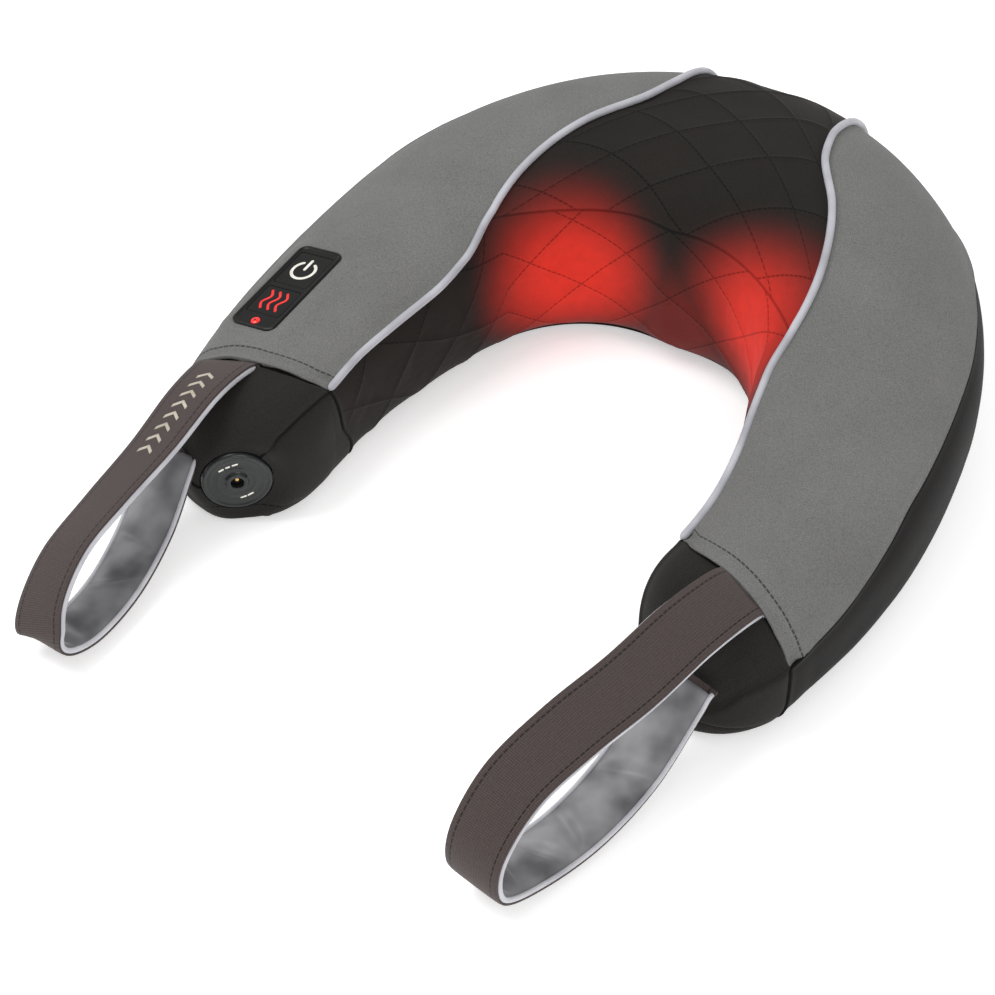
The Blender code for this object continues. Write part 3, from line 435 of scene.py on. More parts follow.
def dress(grid, seams, flip, lift=0.0, wrinkle=0.2 * MM, seed=0):
    """Shapes a plain grid into sewn cloth, pulled in at the named borders and puffed between.

    Also gives each point's distance from the nearest sewn border.
    """
    normal = grid_normals(grid) * (-1 if flip else 1)
    across, along = run_length(grid, 1), run_length(grid, 0)
    gaps = (across, across[:, -1:] - across, along, along[-1:] - along)
    distance = np.minimum.reduce([gap for name, gap in zip(BORDERS, gaps) if name in seams])
    full = fullness(grid) * (1 - valley(distance, PUFF_WIDTH / 2))[..., None]
    rise = PUFF * (1 - valley(distance, PUFF_WIDTH)) - SEAM_DEPTH * valley(distance, SEAM_WIDTH)
    rise = rise + wrinkle * (lumps(grid, 0.034, seed) + 0.4 * lumps(grid, 0.013, seed + 3))
    rise = rise + lift * (1 - valley(distance, QUILT_FADE))
    return grid + full + normal * rise[..., None], distance


def ride(piece, body, nodes=()):
    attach(piece, body)
    if nodes:
        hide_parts(*nodes)


def cloth_panel(name, node, look, grid, seam, flip, uv=None, thickness=CLOTH, keep=None):
    """A cloth panel over the cushion in a look (material, slot), whose slot is not used; keep
    leaves out an opening.
    """
    material, slot = look
    rows, columns = grid.shape[:2]
    faces = grid_faces(rows, columns)
    if keep is not None:
        faces = faces[keep.ravel()[faces].any(axis=1)]
    if flip:
        faces = faces[:, ::-1]
    flat_uv = None if uv is None else uv.reshape(-1, 2)
    made = mesh_object(name, grid.reshape(-1, 3), faces, material, flat_uv, seam=seam)
    skin = made.modifiers.new("cloth", "SOLIDIFY")
    skin.thickness = thickness
    skin.offset = -1
    ride(made, "cushion", (node,))


def swept(name, rings, material, uv=None):
    """A closed solid through rings of points."""
    rings = np.asarray(rings)
    rows, columns = rings.shape[:2]
    faces = grid_faces(rows, columns, wrap=True).tolist()
    faces.append(list(range(columns)))
    faces.append([(rows - 1) * columns + i for i in range(columns)])
    flat_uv = None if uv is None else np.asarray(uv).reshape(-1, 2)
    return mesh_object(name, rings.reshape(-1, 3), faces, material, flat_uv, closed=True)


def turned(name, profile, matrix, material, steps=96):
    """A solid of revolution about its own Z from a closed (radius, height) outline in mm."""
    outline = np.array(profile) * MM
    across = [np.outer(way, outline[:, 0]) for way in circle(steps)]
    rings = np.stack([*across, np.tile(outline[:, 1], (steps, 1))], -1)
    count = len(outline)
    faces = grid_faces(steps + 1, count, wrap=True) % (steps * count)
    return mesh_object(name, placed(rings.reshape(-1, 3), matrix), faces, material, closed=True)


def rounded_outline(wide, long, radius, steps=8):
    """Outline of a rectangle with rounded corners."""
    points = []
    for quarter, (x, y) in enumerate(((1, 1), (-1, 1), (-1, -1), (1, -1))):
        for turn in np.linspace(0, math.pi / 2, steps) + quarter * math.pi / 2:
            points.append((
                x * (wide / 2 - radius) + radius * math.cos(turn),
                y * (long / 2 - radius) + radius * math.sin(turn),
            ))
    return np.array(points)


SLAB_CREASE = 18  # degrees past which an edge of a slab shows as sharp


def at_level(outline, level, matrix):
    """A flat outline at a height of a frame, in the object's coordinates."""
    return placed(np.column_stack([outline, np.full(len(outline), level)]), matrix)


def slab(name, wide, long, radius, levels, matrix, material):
    """A rounded slab through (inset, height) levels from its foot to its top."""
    rings = []
    for inset, height in levels:
        flat = rounded_outline(wide - 2 * inset, long - 2 * inset, max(radius - inset, 0.2 * MM))
        rings.append(at_level(flat, height, matrix))
    made = swept(name, rings, material)
    sharpen(made, SLAB_CREASE)
    return made


def cut(piece, cutters):
    """Takes the cutters out of a piece for good, and removes them."""
    for cutter in cutters:
        step = piece.modifiers.new("cut", "BOOLEAN")
        step.operation = "DIFFERENCE"
        step.solver = "EXACT"
        step.object = cutter
    apply_modifiers(piece)
    for cutter in cutters:
        bpy.data.objects.remove(cutter, do_unlink=True)


# ---- materials
FINE_BUMP = 0.3 * MM
FLECK = 2300
MOTTLE = 22


class Nodes:
    """Short calls for building one material's node tree."""

    def __init__(self, name):
        self.material = bpy.data.materials.new(name)
        self.material.use_nodes = True
        self.tree = self.material.node_tree
        self.shader = self.tree.nodes["Principled BSDF"]

    def add(self, kind, **values):
        node = self.tree.nodes.new(kind)
        for key, value in values.items():
            setattr(node, key, value)
        return node

    def link(self, source, target):
        self.tree.links.new(source, target)

    def feed(self, target, value):
        if hasattr(value, "is_linked"):
            self.link(value, target)
        else:
            target.default_value = value

    def math(self, operation, a, b=0.0, c=0.0):
        node = self.add("ShaderNodeMath", operation=operation)
        for socket, value in zip(node.inputs, (a, b, c)):
            self.feed(socket, value)
        return node.outputs[0]

    def plus(self, a, b):
        return self.math("ADD", a, b)

    def times(self, a, b):
        return self.math("MULTIPLY", a, b)

    def most(self, a, b):
        return b if a is None else self.math("MAXIMUM", a, b)

    def coordinates(self, kind="Object"):
        return self.add("ShaderNodeTexCoord").outputs[kind]

    def uv(self):
        parts = self.add("ShaderNodeSeparateXYZ")
        self.link(self.coordinates("UV"), parts.inputs[0])
        return parts.outputs[0], parts.outputs[1]

    def noise(self, vector, scale, detail=3.0, rough=0.55):
        node = self.add("ShaderNodeTexNoise")
        self.link(vector, node.inputs["Vector"])
        node.inputs["Scale"].default_value = scale
        node.inputs["Detail"].default_value = detail
        node.inputs["Roughness"].default_value = rough
        return node.outputs["Fac"]

    def ramp(self, value, stops):
        node = self.add("ShaderNodeValToRGB")
        self.link(value, node.inputs[0])
        band = node.color_ramp
        while len(band.elements) < len(stops):
            band.elements.new(0.5)
        for element, (place, colour) in zip(band.elements, stops):
            element.position = place
            element.color = (*colour, 1)
        return node.outputs[0]

    def mix(self, factor, a, b, blend="MIX"):
        node = self.add("ShaderNodeMix", data_type="RGBA", blend_type=blend)
        self.feed(node.inputs[0], factor)
        for socket, value in ((node.inputs[6], a), (node.inputs[7], b)):
            if isinstance(value, tuple):
                socket.default_value = (*value, 1)
            else:
                self.link(value, socket)
        return node.outputs[2]

    def fall(self, value, near, far, top=1.0, **values):
        """0 at far and beyond it, rising to top at near."""
        node = self.add("ShaderNodeMapRange", **values)
        self.link(value, node.inputs["Value"])
        for name, number in (("From Min", far), ("From Max", near), ("To Max", top)):
            node.inputs[name].default_value = number
        return node.outputs[0]

    def bump(self, height, strength, distance=0.4 * MM):
        node = self.add("ShaderNodeBump")
        self.link(height, node.inputs["Height"])
        node.inputs["Strength"].default_value = strength
        node.inputs["Distance"].default_value = distance
        return node.outputs[0]

    def set(self, **values):
        names = {
            "colour": "Base Color", "roughness": "Roughness", "metallic": "Metallic",
            "sheen": "Sheen Weight", "sheen_rough": "Sheen Roughness", "coat": "Coat Weight",
            "coat_rough": "Coat Roughness", "normal": "Normal", "specular": "Specular IOR Level",
            "emission": "Emission Color", "emit": "Emission Strength",
        }
        for key, value in values.items():
            if isinstance(value, tuple):
                value = (*value, 1)
            self.feed(self.shader.inputs[names[key]], value)
        return self.material


def srgb(r, g, b):
    """Linear colour from 8-bit display values."""
    shades = (r / 255, g / 255, b / 255)
    return tuple(v / 12.92 if v <= 0.04045 else ((v + 0.055) / 1.055) ** 2.4 for v in shades)


STITCH_STEP = 3.0 * MM
STITCH_SHARE = 0.70
STITCH_WIDTH = 0.4 * MM
SEAM_SHADE = (0.3 * MM, 1.0 * MM, 0.85)  # where it is full, where it ends, and its strength


def dashes(n, along):
    """A run of stitches along a coordinate: 1 on the thread, 0 in the needle holes."""
    return n.math("LESS_THAN", n.math("FRACT", n.math("DIVIDE", along, STITCH_STEP)), STITCH_SHARE)


def stitch_line(n, across, along, place):
    """One row of stitches beside a border, where across is the distance from it."""
    away = n.math("ABSOLUTE", n.math("SUBTRACT", across, place))
    near = n.math("LESS_THAN", away, STITCH_WIDTH)
    return n.times(near, n.plus(n.times(dashes(n, along), 0.7), 0.3))


def seam_line(n):
    """Shade of the join along a panel's sewn border."""
    gap = n.add("ShaderNodeAttribute", attribute_name="seam").outputs["Fac"]
    return n.fall(gap, *SEAM_SHADE)


def knit(name, dark, light, hem=None, joined=True, thread=None):
    """Matt knitted cloth: a fleck of two tones, a faint mottle and a stitch-scale bump."""
    n = Nodes(name)
    place = n.coordinates()
    fine = n.noise(place, FLECK, 2.0, 0.6)
    broad = n.noise(place, MOTTLE, 3.0)
    tone = n.ramp(fine, [(0.34, dark), (0.66, light)])
    colour = n.mix(1.0, tone, n.ramp(broad, [(0.35, (0.95,) * 3), (0.65, (1.05,) * 3)]), "MULTIPLY")
    if hem:
        along, across = n.uv()
        line = stitch_line(n, across, along, hem)
        colour = n.mix(line, colour, thread or tuple(v * 0.45 for v in dark))
    if joined:
        colour = n.mix(seam_line(n), colour, tuple(v * 0.3 for v in dark))
    normal = n.bump(fine, 0.25)
    return n.set(
        colour=colour, roughness=0.92, sheen=0.05, sheen_rough=0.5, specular=0.2, normal=normal
    )


# Light of the two warming lamps through the cloth: middle, reach and strength of each patch.
GLOW_SPOTS = (
    ((-0.0470, 0.0880, 0.0460), 0.063, 1.0), ((0.0570, 0.0815, 0.0600), 0.064, 1.0),
    ((0.0060, 0.0980, 0.0280), 0.056, 0.17),
)
GLOW_COLOUR = (1.0, 0.029, 0.013)
GLOW_EMIT = 0.66
GLOW_CORE = 0.012
QUILT_CELL = 0.030


def heat_glow(n, place, thread):
    """The lamps' red light through the cloth round each massage head, weaker on the stitching."""
    total = None
    for spot, reach, strength in GLOW_SPOTS:
        gap = n.add("ShaderNodeVectorMath", operation="DISTANCE")
        n.link(place, gap.inputs[0])
        gap.inputs[1].default_value = spot
        fall = n.fall(gap.outputs["Value"], GLOW_CORE, reach, interpolation_type="SMOOTHSTEP")
        total = n.most(total, n.times(n.math("POWER", fall, 1.5), strength))
    patchy = n.plus(n.times(n.noise(place, 160, 3.0), 0.35), 0.82)
    shaded = n.math("SUBTRACT", 1.0, n.times(thread, 0.45))
    power = n.times(n.times(total, patchy), shaded)
    n.set(emission=GLOW_COLOUR, emit=n.times(power, GLOW_EMIT))


def quilt_material(name):
    """Soft black cloth with broken thread along both families of quilting lines."""
    n = Nodes(name)
    place = n.coordinates()
    fine = n.noise(place, 2400, 2.0, 0.6)
    broad = n.noise(place, 26, 3.0)
    tone = n.ramp(fine, [(0.3, srgb(24, 21, 19)), (0.7, srgb(38, 34, 31))])
    colour = n.mix(1.0, tone, n.ramp(broad, [(0.3, (0.9,) * 3), (0.7, (1.08,) * 3)]), "MULTIPLY")
    first, second = n.uv()
    total = None
    for mine, other in ((first, second), (second, first)):
        line = n.math("LESS_THAN", n.math("PINGPONG", mine, QUILT_CELL / 2), 0.42 * MM)
        worn = n.plus(n.times(dashes(n, other), 0.7), 0.3)
        total = n.most(total, n.times(line, worn))
    total = n.most(total, seam_line(n))
    colour = n.mix(total, colour, srgb(10, 9, 8))
    heat_glow(n, place, total)
    normal = n.bump(fine, 0.2)
    return n.set(
        colour=colour, roughness=0.88, sheen=0.04, sheen_rough=0.5, specular=0.2, normal=normal
    )


RIB_STEP = 1.0 * MM
WARP_STEP = 1.3 * MM


def webbing_material(name, dark, light):
    """Ribbed woven tape: ribs across its width, warp between them, a stitch line by each edge."""
    n = Nodes(name)
    along, across = n.uv()
    rib = n.math("SINE", n.times(along, 2 * math.pi / RIB_STEP))
    warp = n.math("SINE", n.times(across, 2 * math.pi / WARP_STEP))
    weave = n.plus(n.times(rib, 0.17), n.times(warp, 0.09))
    fine = n.noise(n.coordinates(), 1300, 3.0)
    height = n.plus(n.plus(weave, 0.12), n.times(fine, 0.75))
    colour = n.ramp(height, [(0.15, dark), (0.85, light)])
    edge = n.math("ABSOLUTE", across)
    line = stitch_line(n, edge, along, STRAP_WIDTH / 2 - STRAP_STITCH)
    colour = n.mix(line, colour, srgb(33, 26, 25))
    sunk = n.math("SUBTRACT", height, n.times(line, 1.5))
    normal = n.bump(sunk, 0.22, FINE_BUMP)
    return n.set(colour=colour, roughness=0.8, sheen=0.1, specular=0.3, normal=normal)


def satin_material(name, dark, light, grain=900, rough=0.5, sheen=0.35):
    """Soft cloth with a low sheen and a faint nap."""
    n = Nodes(name)
    place = n.coordinates()
    nap = n.noise(place, grain, 3.0)
    broad = n.noise(place, 62, 2.0, 0.4)
    colour = n.ramp(broad, [(0.3, dark), (0.7, light)])
    normal = n.bump(nap, 0.12, FINE_BUMP)
    return n.set(
        colour=colour, roughness=rough, sheen=sheen, sheen_rough=0.35, specular=0.35, normal=normal
    )


def solid_material(
    name, dark, light, rough, coat=0.0, grain=700, bump=0.05, metallic=0.0, emit=0.0, specular=0.5
):
    """Plastic, metal or foam with a fine grain and slightly uneven polish."""
    n = Nodes(name)
    place = n.coordinates()
    fine = n.noise(place, grain, 2.0)
    broad = n.noise(place, 40, 4.0)
    polish = n.plus(n.times(broad, rough * 0.4), rough * 0.8)
    n.set(colour=n.ramp(broad, [(0.3, dark), (0.7, light)]), metallic=metallic, coat=coat)
    n.set(specular=specular, roughness=polish, normal=n.bump(fine, bump, FINE_BUMP))
    if coat:
        n.set(coat_rough=0.05)
    if emit:
        n.set(emission=light, emit=emit)
    return n.material


STRAP_WIDTH = 0.029
STRAP_STITCH = 0.0032
HEM_BAND = 0.0078
FOOT_STITCH = 0.0085
FOOT_GROOVE = (0.7 * MM, 1.1 * MM)  # depth and width
BLACKS = srgb(27, 26, 25), srgb(42, 40, 38)
GREYS = srgb(95, 95, 94), srgb(127, 127, 125)
GREY = knit("grey_knit", *GREYS, hem=HEM_BAND, joined=False), "grey_knit"
QUILT = quilt_material("black_quilt"), "quilted_fabric"
PLAIN = knit("black_knit", *BLACKS), "plain_fabric"
FOOT = knit("black_foot_knit", *BLACKS, hem=FOOT_STITCH, thread=(0.001,) * 3), "plain_fabric"
# Painted shade: a darker copy of the plain black knit, so the outer wall and the base come out
# darker than the lamps light them.
SHADED_WALL_KNIT = knit("shaded_wall_knit", srgb(13, 11, 10), srgb(23, 19, 18)), "plain_fabric"
PIPE = satin_material("piping_satin", srgb(164, 164, 171), srgb(190, 190, 197))
WEBBING = webbing_material("ribbed_webbing", srgb(52, 43, 42), srgb(84, 73, 70))
LINING = satin_material(
    "lining_velour", srgb(96, 96, 99), srgb(150, 150, 153), rough=0.42, sheen=0.5
)
BINDING = satin_material("binding_satin", srgb(176, 176, 182), srgb(204, 204, 209))
THREAD = satin_material("cream_thread", srgb(176, 166, 150), srgb(200, 190, 174), grain=2500)
GLOSS = solid_material(
    "gloss_black", srgb(13, 12, 11), srgb(18, 17, 16), 0.34, 0.05, bump=0.02, specular=0.25
)
JACK_GLOSS = solid_material(
    "inlet_grey", srgb(22, 24, 25), srgb(30, 32, 33), 0.26, 0.15, bump=0.03, specular=0.35
)
# Its faint glow is painted light where it covers the inlet's printed marks, which have no lamp
# behind them.
ICON_WHITE = solid_material("icon_white", srgb(226, 224, 214), srgb(238, 236, 226), 0.4, emit=0.15)
ICON_RED = solid_material("icon_red", srgb(196, 28, 30), srgb(232, 36, 38), 0.4, emit=0.45)
FOAM = solid_material("foam", srgb(214, 208, 190), srgb(232, 226, 208), 0.95, grain=420, bump=0.8)
INNER = {"gloss_panel": GLOSS, "foam": FOAM}
for slot_name, dark_tone, light_tone, slot_rough, extra in (
    ("housing", (50, 50, 53), (62, 62, 66), 0.5, {"bump": 0.15}),
    ("gear_plastic", (216, 212, 200), (228, 224, 214), 0.4, {}),
    ("node_plastic", (176, 178, 182), (190, 192, 196), 0.35, {}),
    ("red_lens", (190, 16, 14), (228, 26, 22), 0.15, {"coat": 0.6, "emit": 0.5}),
    ("board", (12, 92, 48), (18, 110, 60), 0.45, {}),
    ("lead", (26, 26, 27), (36, 36, 37), 0.5, {}),
    ("steel", (188, 190, 194), (204, 206, 210), 0.3, {"metallic": 1.0}),
    ("brass", (200, 166, 96), (218, 184, 112), 0.3, {"metallic": 1.0}),
):
    tones = srgb(*dark_tone), srgb(*light_tone)
    INNER[slot_name] = solid_material(slot_name, *tones, slot_rough, **extra)


def paint_frame():
    """Gives each CAD node that still shows the material of its slot."""
    for part in frame["record"]["subparts"]:
        look = INNER.get(part["material_slot"])
        if look:
            node = frame["nodes"][part["node"]]
            for holder in node.material_slots:
                holder.material = look


# ---- control panel and inlet frames
PANEL_STATION = -0.835
PANEL_ANGLE = 72.4
PANEL_PITCH = math.radians(5)
PANEL_ROLL = math.radians(10)
PANEL_PROUD = 0.0012
PANEL_WIDTH = 0.026
PANEL_LENGTH = 0.062
PANEL_CORNER = 0.0048
PANEL_THICKNESS = 0.0030
KEYS = {"power": (0.0200, 0.0240, 0.0138), "heat": (0.0200, 0.0195, -0.0112)}
LED_PLACE = -0.0262
LED_RADIUS = 0.0024
PANEL_SINK = -0.5 * MM
PANEL_EASE = 0.013
PANEL_LAP = 1.2 * MM
PANEL_DEPTH = 0.020  # how far above or below its plane the panel draws the cloth
JACK_OUT = Vector((0.643, -0.766, 0)).normalized()
JACK_HOLE = 0.0174
JACK_PLANE = -1.2 * MM
JACK_EASE = 0.012
JACK_DEPTH = 0.022
PIN_DEPTH = 1.0 * MM


def panel_matrix():
    """Frame of the control panel: its own Y runs along the arm towards the neck."""
    heading = float(centre(abs(PANEL_STATION))[2])
    spot = Vector(surface(PANEL_STATION, PANEL_ANGLE)) + Vector((0, 0, PANEL_PROUD))
    turn = Matrix.Rotation(heading - math.pi / 2, 4, "Z")
    tilt = Matrix.Rotation(PANEL_PITCH, 4, "X") @ Matrix.Rotation(-PANEL_ROLL, 4, "Y")
    return Matrix.Translation(spot) @ turn @ tilt


def jack_matrix():
    """Frame of the inlet at the middle of its face: Z out of the nose, Y up."""
    low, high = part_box("jack_contact_pin")
    pin = (low + high) / 2
    points = [v.co for v in frame["nodes"]["jack_contact_pin"].data.vertices]
    tip = max(points, key=JACK_OUT.dot)
    face = pin + JACK_OUT * ((tip - pin).dot(JACK_OUT) + PIN_DEPTH)
    right = Vector((0, 0, 1)).cross(JACK_OUT)
    axes = Matrix((right, Vector((0, 0, 1)), JACK_OUT)).transposed().to_4x4()
    return Matrix.Translation(face) @ axes


PANEL_FRAME = panel_matrix()
JACK_FRAME = jack_matrix()


def round_jack(points):
    """Draws nose cloth onto the inlet's plane and round its rim; also which points stay."""
    local = seen_from(points, JACK_FRAME)
    radius = np.hypot(local[..., 0], local[..., 1])
    near = np.clip(1 - (radius - JACK_HOLE) / JACK_EASE, 0, 1)
    near = smoothstep(near * (np.abs(local[..., 2]) < JACK_DEPTH))
    level = local[..., 2] + (JACK_PLANE - local[..., 2]) * near
    pushed = np.maximum(radius, JACK_HOLE) / np.maximum(radius, 1e-6)
    inside = (radius < JACK_HOLE) & (near > 0)
    grow = np.where(inside, pushed, 1)
    moved = np.stack([local[..., 0] * grow, local[..., 1] * grow, level], -1)
    return placed(moved, JACK_FRAME), ~inside


def round_panel(points):
    """Draws the grey cloth up to the control panel's rim; also which points stay outside it."""
    local = seen_from(points, PANEL_FRAME)
    beyond = np.abs(local[..., :2]) - np.array((PANEL_WIDTH, PANEL_LENGTH)) / 2 + PANEL_CORNER
    away = np.hypot(*np.moveaxis(np.maximum(beyond, 0), -1, 0)) - PANEL_CORNER
    away = away + np.minimum(beyond.max(axis=-1), 0)
    near = np.clip(1 - away / PANEL_EASE, 0, 1)
    near = smoothstep(near * (np.abs(local[..., 2]) < PANEL_DEPTH))
    level = local[..., 2] + (PANEL_SINK - local[..., 2]) * near
    moved = np.concatenate([local[..., :2], level[..., None]], -1)
    outside = (away > -PANEL_LAP) | (near == 0)
    return placed(moved, PANEL_FRAME), outside


# ---- cushion cover
def spread(low, high, count):
    """Grid of values from low to high arrays, across count columns."""
    t = np.linspace(0, 1, count)[None, :]
    return low[:, None] + (high - low)[:, None] * t


HEM_STAND = 1.0 * MM
HEM_DROP = 3.4 * MM
HEM_ROLL = 0.9 * MM
HEM_GROOVE = (0.9 * MM, 1.2 * MM)  # depth and width along its stitches
HEM_SLOPE = 3 * MM
HEM_THICK = 1.2 * MM


def grey_panel(side, sign):
    """Grey shoulder panel, ending in a turned and stitched hem over the nose."""
    stations = np.concatenate([np.linspace(0.087, 0.20, 40)[:-1], np.linspace(0.20, 1.0, 190)])
    degrees = spread(gusset_angle(stations), piping_angle(stations), 84)
    plain = surface(sign * stations[:, None], degrees)
    shaped, gap = dress(plain, BORDERS[:3], sign < 0, seed=2 - sign, wrinkle=0.12 * MM)
    along = run_length(plain, 0)
    left = along[-1:] - along
    lift = HEM_STAND * (1 - np.clip((left - HEM_BAND) / HEM_SLOPE, 0, 1))
    lift = lift + HEM_ROLL * np.sin(np.pi * np.clip(left / HEM_BAND, 0, 1))
    lift = lift - HEM_GROOVE[0] * valley(left - HEM_BAND, HEM_GROOVE[1])
    shaped = shaped + grid_normals(plain) * sign * lift[..., None]
    keep = np.ones(shaped.shape[:2], bool)
    if side == "left":
        shaped, keep = round_panel(shaped)
    inner = unit((plain[-1:].mean(axis=1, keepdims=True) - plain[-1:]) * (1, 1, 0.6))
    turned_in = [shaped[-1:] + inner * HEM_DROP * share for share in (0.25, 0.6, 1.0)]
    grid = np.concatenate([shaped] + turned_in)
    uv = np.stack([run_length(plain, 1), left], -1)
    gap, keep, uv = (np.concatenate([v] + [v[-1:]] * 3) for v in (gap, keep, uv))
    name = side + "_grey_panel"
    cloth_panel(name + "_cloth", name, GREY, grid, gap, sign < 0, uv, HEM_THICK, keep)


QUILT_GROOVE = 1.1 * MM
QUILT_DEPTH = 0.45 * MM
QUILT_PUFF = 0.7 * MM
QUILT_TURNS = (math.radians(32), math.radians(44))
TOP_HALF = 120  # columns each side of the neck's middle
INNER_HALF = 200  # rows each side of it


def quilting(u, v):
    """Cloth coordinates across the two stitch families, and the relief they give."""
    first, second = QUILT_TURNS
    a = u * math.sin(first) + v * math.cos(first)
    b = -u * math.sin(second) + v * math.cos(second)
    away = [np.abs(w / QUILT_CELL - np.round(w / QUILT_CELL)) * QUILT_CELL for w in (a, b)]
    groove = np.maximum(valley(away[0], QUILT_GROOVE), valley(away[1], QUILT_GROOVE))
    pillow = np.sin(np.pi * away[0] / QUILT_CELL) * np.sin(np.pi * away[1] / QUILT_CELL)
    return np.stack([a, b], -1), QUILT_PUFF * pillow - QUILT_DEPTH * groove


def top_panel():
    """Quilted panel between the pipings, over the neck and down its inside."""
    ends = [(s, a) for s, a in PIPING if s <= INNER_SEAM_END]
    share = np.linspace(0, 1, 150)
    knots = np.linspace(0, 1, len(ends))
    reach = smooth_interp(share, list(zip(knots, [s for s, a in ends])))
    edge = piping_angle(reach)
    middle = ends[0][1] + (INNER_SEAM_ANGLES[0] - ends[0][1]) * share
    part = np.linspace(-1, 1, 2 * TOP_HALF + 1)[None, :]
    bend = np.abs(part) ** (2 + (INNER_SEAM_POWER - 2) * share[:, None])
    degrees = middle[:, None] + (edge - middle)[:, None] * bend
    plain = surface(part * reach[:, None], degrees)
    along = run_length(plain, 0)[:, TOP_HALF:TOP_HALF + 1]
    crest = np.argmin(np.abs(middle - 90))
    uv, lift = quilting(plain[..., 0], along[crest] - along + 0 * part)
    shaped, gap = dress(plain, BORDERS, True, lift, seed=5)
    cloth_panel("quilted_top_cloth", "quilted_top_panel", QUILT, shaped, gap, True, uv)


def inner_wall():
    """Quilted wall round the inside of the neck and arms."""
    stations = np.linspace(-1.0, 1.0, 2 * INNER_HALF + 1)
    low = inner_seam_angle(stations)
    plain = surface(stations[:, None], spread(low, np.full_like(low, 180 + LOWER_ANGLE), 72))
    run = run_length(plain, 0)
    run = run - run[INNER_HALF]
    uv, lift = quilting(run[:, 24:25] + 0 * run, -run_length(plain, 1))
    shaped, gap = dress(plain, BORDERS, False, lift, 0.35 * MM, 7)
    cloth_panel("quilted_inner_cloth", "quilted_inner_wall", QUILT, shaped, gap, False, uv)


def outer_wall():
    """Plain wall round the outside, below the grey panels."""
    stations = np.linspace(-1.0, 1.0, 361)
    high = gusset_angle(stations)
    plain = surface(stations[:, None], spread(np.full_like(high, -LOWER_ANGLE), high, 36))
    shaped, gap = dress(plain, BORDERS, False, wrinkle=0.3 * MM, seed=9)
    # The wall takes the darker copy of the black knit: painted shade.
    cloth_panel("outer_wall_cloth", "outer_wall_panel", SHADED_WALL_KNIT, shaped, gap, False)


NOSE_INSET = 3.0 * MM
NOSE_START = 0.93
NOSE_TIP = 2 - 1e-5
HEM_END = (1.025, 0.04)  # station where the tuck under the hem ends, and the reach of its ease
HEM_UNDER = 3.0 * MM


def nose_cloth(side, name, node, look, plain, seams, flip, lift, seed, uv=None):
    """A panel of the nose, open round the inlet on the left."""
    shaped, gap = dress(plain, seams, flip, lift, 0.25 * MM, seed)
    keep = None
    if side == "left":
        shaped, keep = round_jack(shaped)
    cloth_panel(side + name, side + node, look, shaped, gap, flip, uv, keep=keep)


def nose(side, sign):
    """End panel over the nose, tucked under the hem, and the gusset round its foot."""
    turn = np.linspace(0, math.pi / 2, 80)
    tip = np.minimum(1 + np.sin(turn), NOSE_TIP)
    stations = np.concatenate([np.linspace(NOSE_START, 1.0, 14)[:-1], tip])
    low = nose_seam_angle(sign, "outer", np.maximum(stations, 1))
    high = 180 - nose_seam_angle(sign, "inner", np.maximum(stations, 1))
    share = np.linspace(0, 1, 110)[None, :]
    sink = NOSE_INSET * np.clip(4 * np.minimum(share, 1 - share), 0, 1)
    under = np.clip((HEM_END[0] - stations) / HEM_END[1], 0, 1)[:, None] * HEM_UNDER
    plain = surface(sign * stations[:, None], spread(low, high, 110), sink + under)
    nose_cloth(side, "_end_cloth", "_end_panel", PLAIN, plain, BORDERS[:2], sign < 0, 0.0, 11)
    turn = np.linspace(-math.pi / 2, math.pi / 2, 221)
    stations = np.minimum(1 + np.cos(turn), NOSE_TIP)
    outer = turn[:, None] < 0
    seams = (nose_seam_angle(sign, face, stations) for face in ("outer", "inner"))
    high = np.where(turn < 0, *seams)
    rise = spread(np.full_like(high, -LOWER_ANGLE), high, 44)
    plain = surface(sign * stations[:, None], np.where(outer, rise, 180 - rise))
    above = run_length(plain, 1)
    groove = -FOOT_GROOVE[0] * valley(above - FOOT_STITCH, FOOT_GROOVE[1])
    uv = np.stack([run_length(plain, 0), above], -1)
    names = ("_gusset_cloth", "_nose_gusset")
    nose_cloth(side, *names, FOOT, plain, BORDERS, sign > 0, groove, 13, uv)


BASE_REACH = 0.775
BASE_TURN_UP = 3.4 * MM


def base():
    """Plain underside, flat on the floor and turned up at its edge to meet the walls."""
    arm = 1 + 0.78 * np.sin(np.linspace(0, math.pi / 2, 20))[1:]
    stations = np.concatenate([np.linspace(0, 1, 90), arm])
    stations = np.concatenate([-stations[::-1][:-1], stations])
    outer, inner = surface(stations, 0), surface(stations, 180)
    middle, half = (outer + inner) / 2, (outer - inner) / 2
    t = np.linspace(-1, 1, 24)
    grid = middle[:, None] + half[:, None] * (BASE_REACH * t)[None, :, None]
    grid[..., 2] = 0.2 * MM + BASE_TURN_UP * np.abs(t)[None, :] ** 8
    away = np.full(grid.shape[:2], QUILT_FADE)
    # The base takes the darker copy of the black knit: painted shade.
    cloth_panel("base_cloth", "base_panel", SHADED_WALL_KNIT, grid, away, True)


PIPING_RADIUS = 1.9 * MM
PIPING_STAND = 1.2 * MM
PIPING_TIP = (0.35, 0.75, 0.92, 0.98)


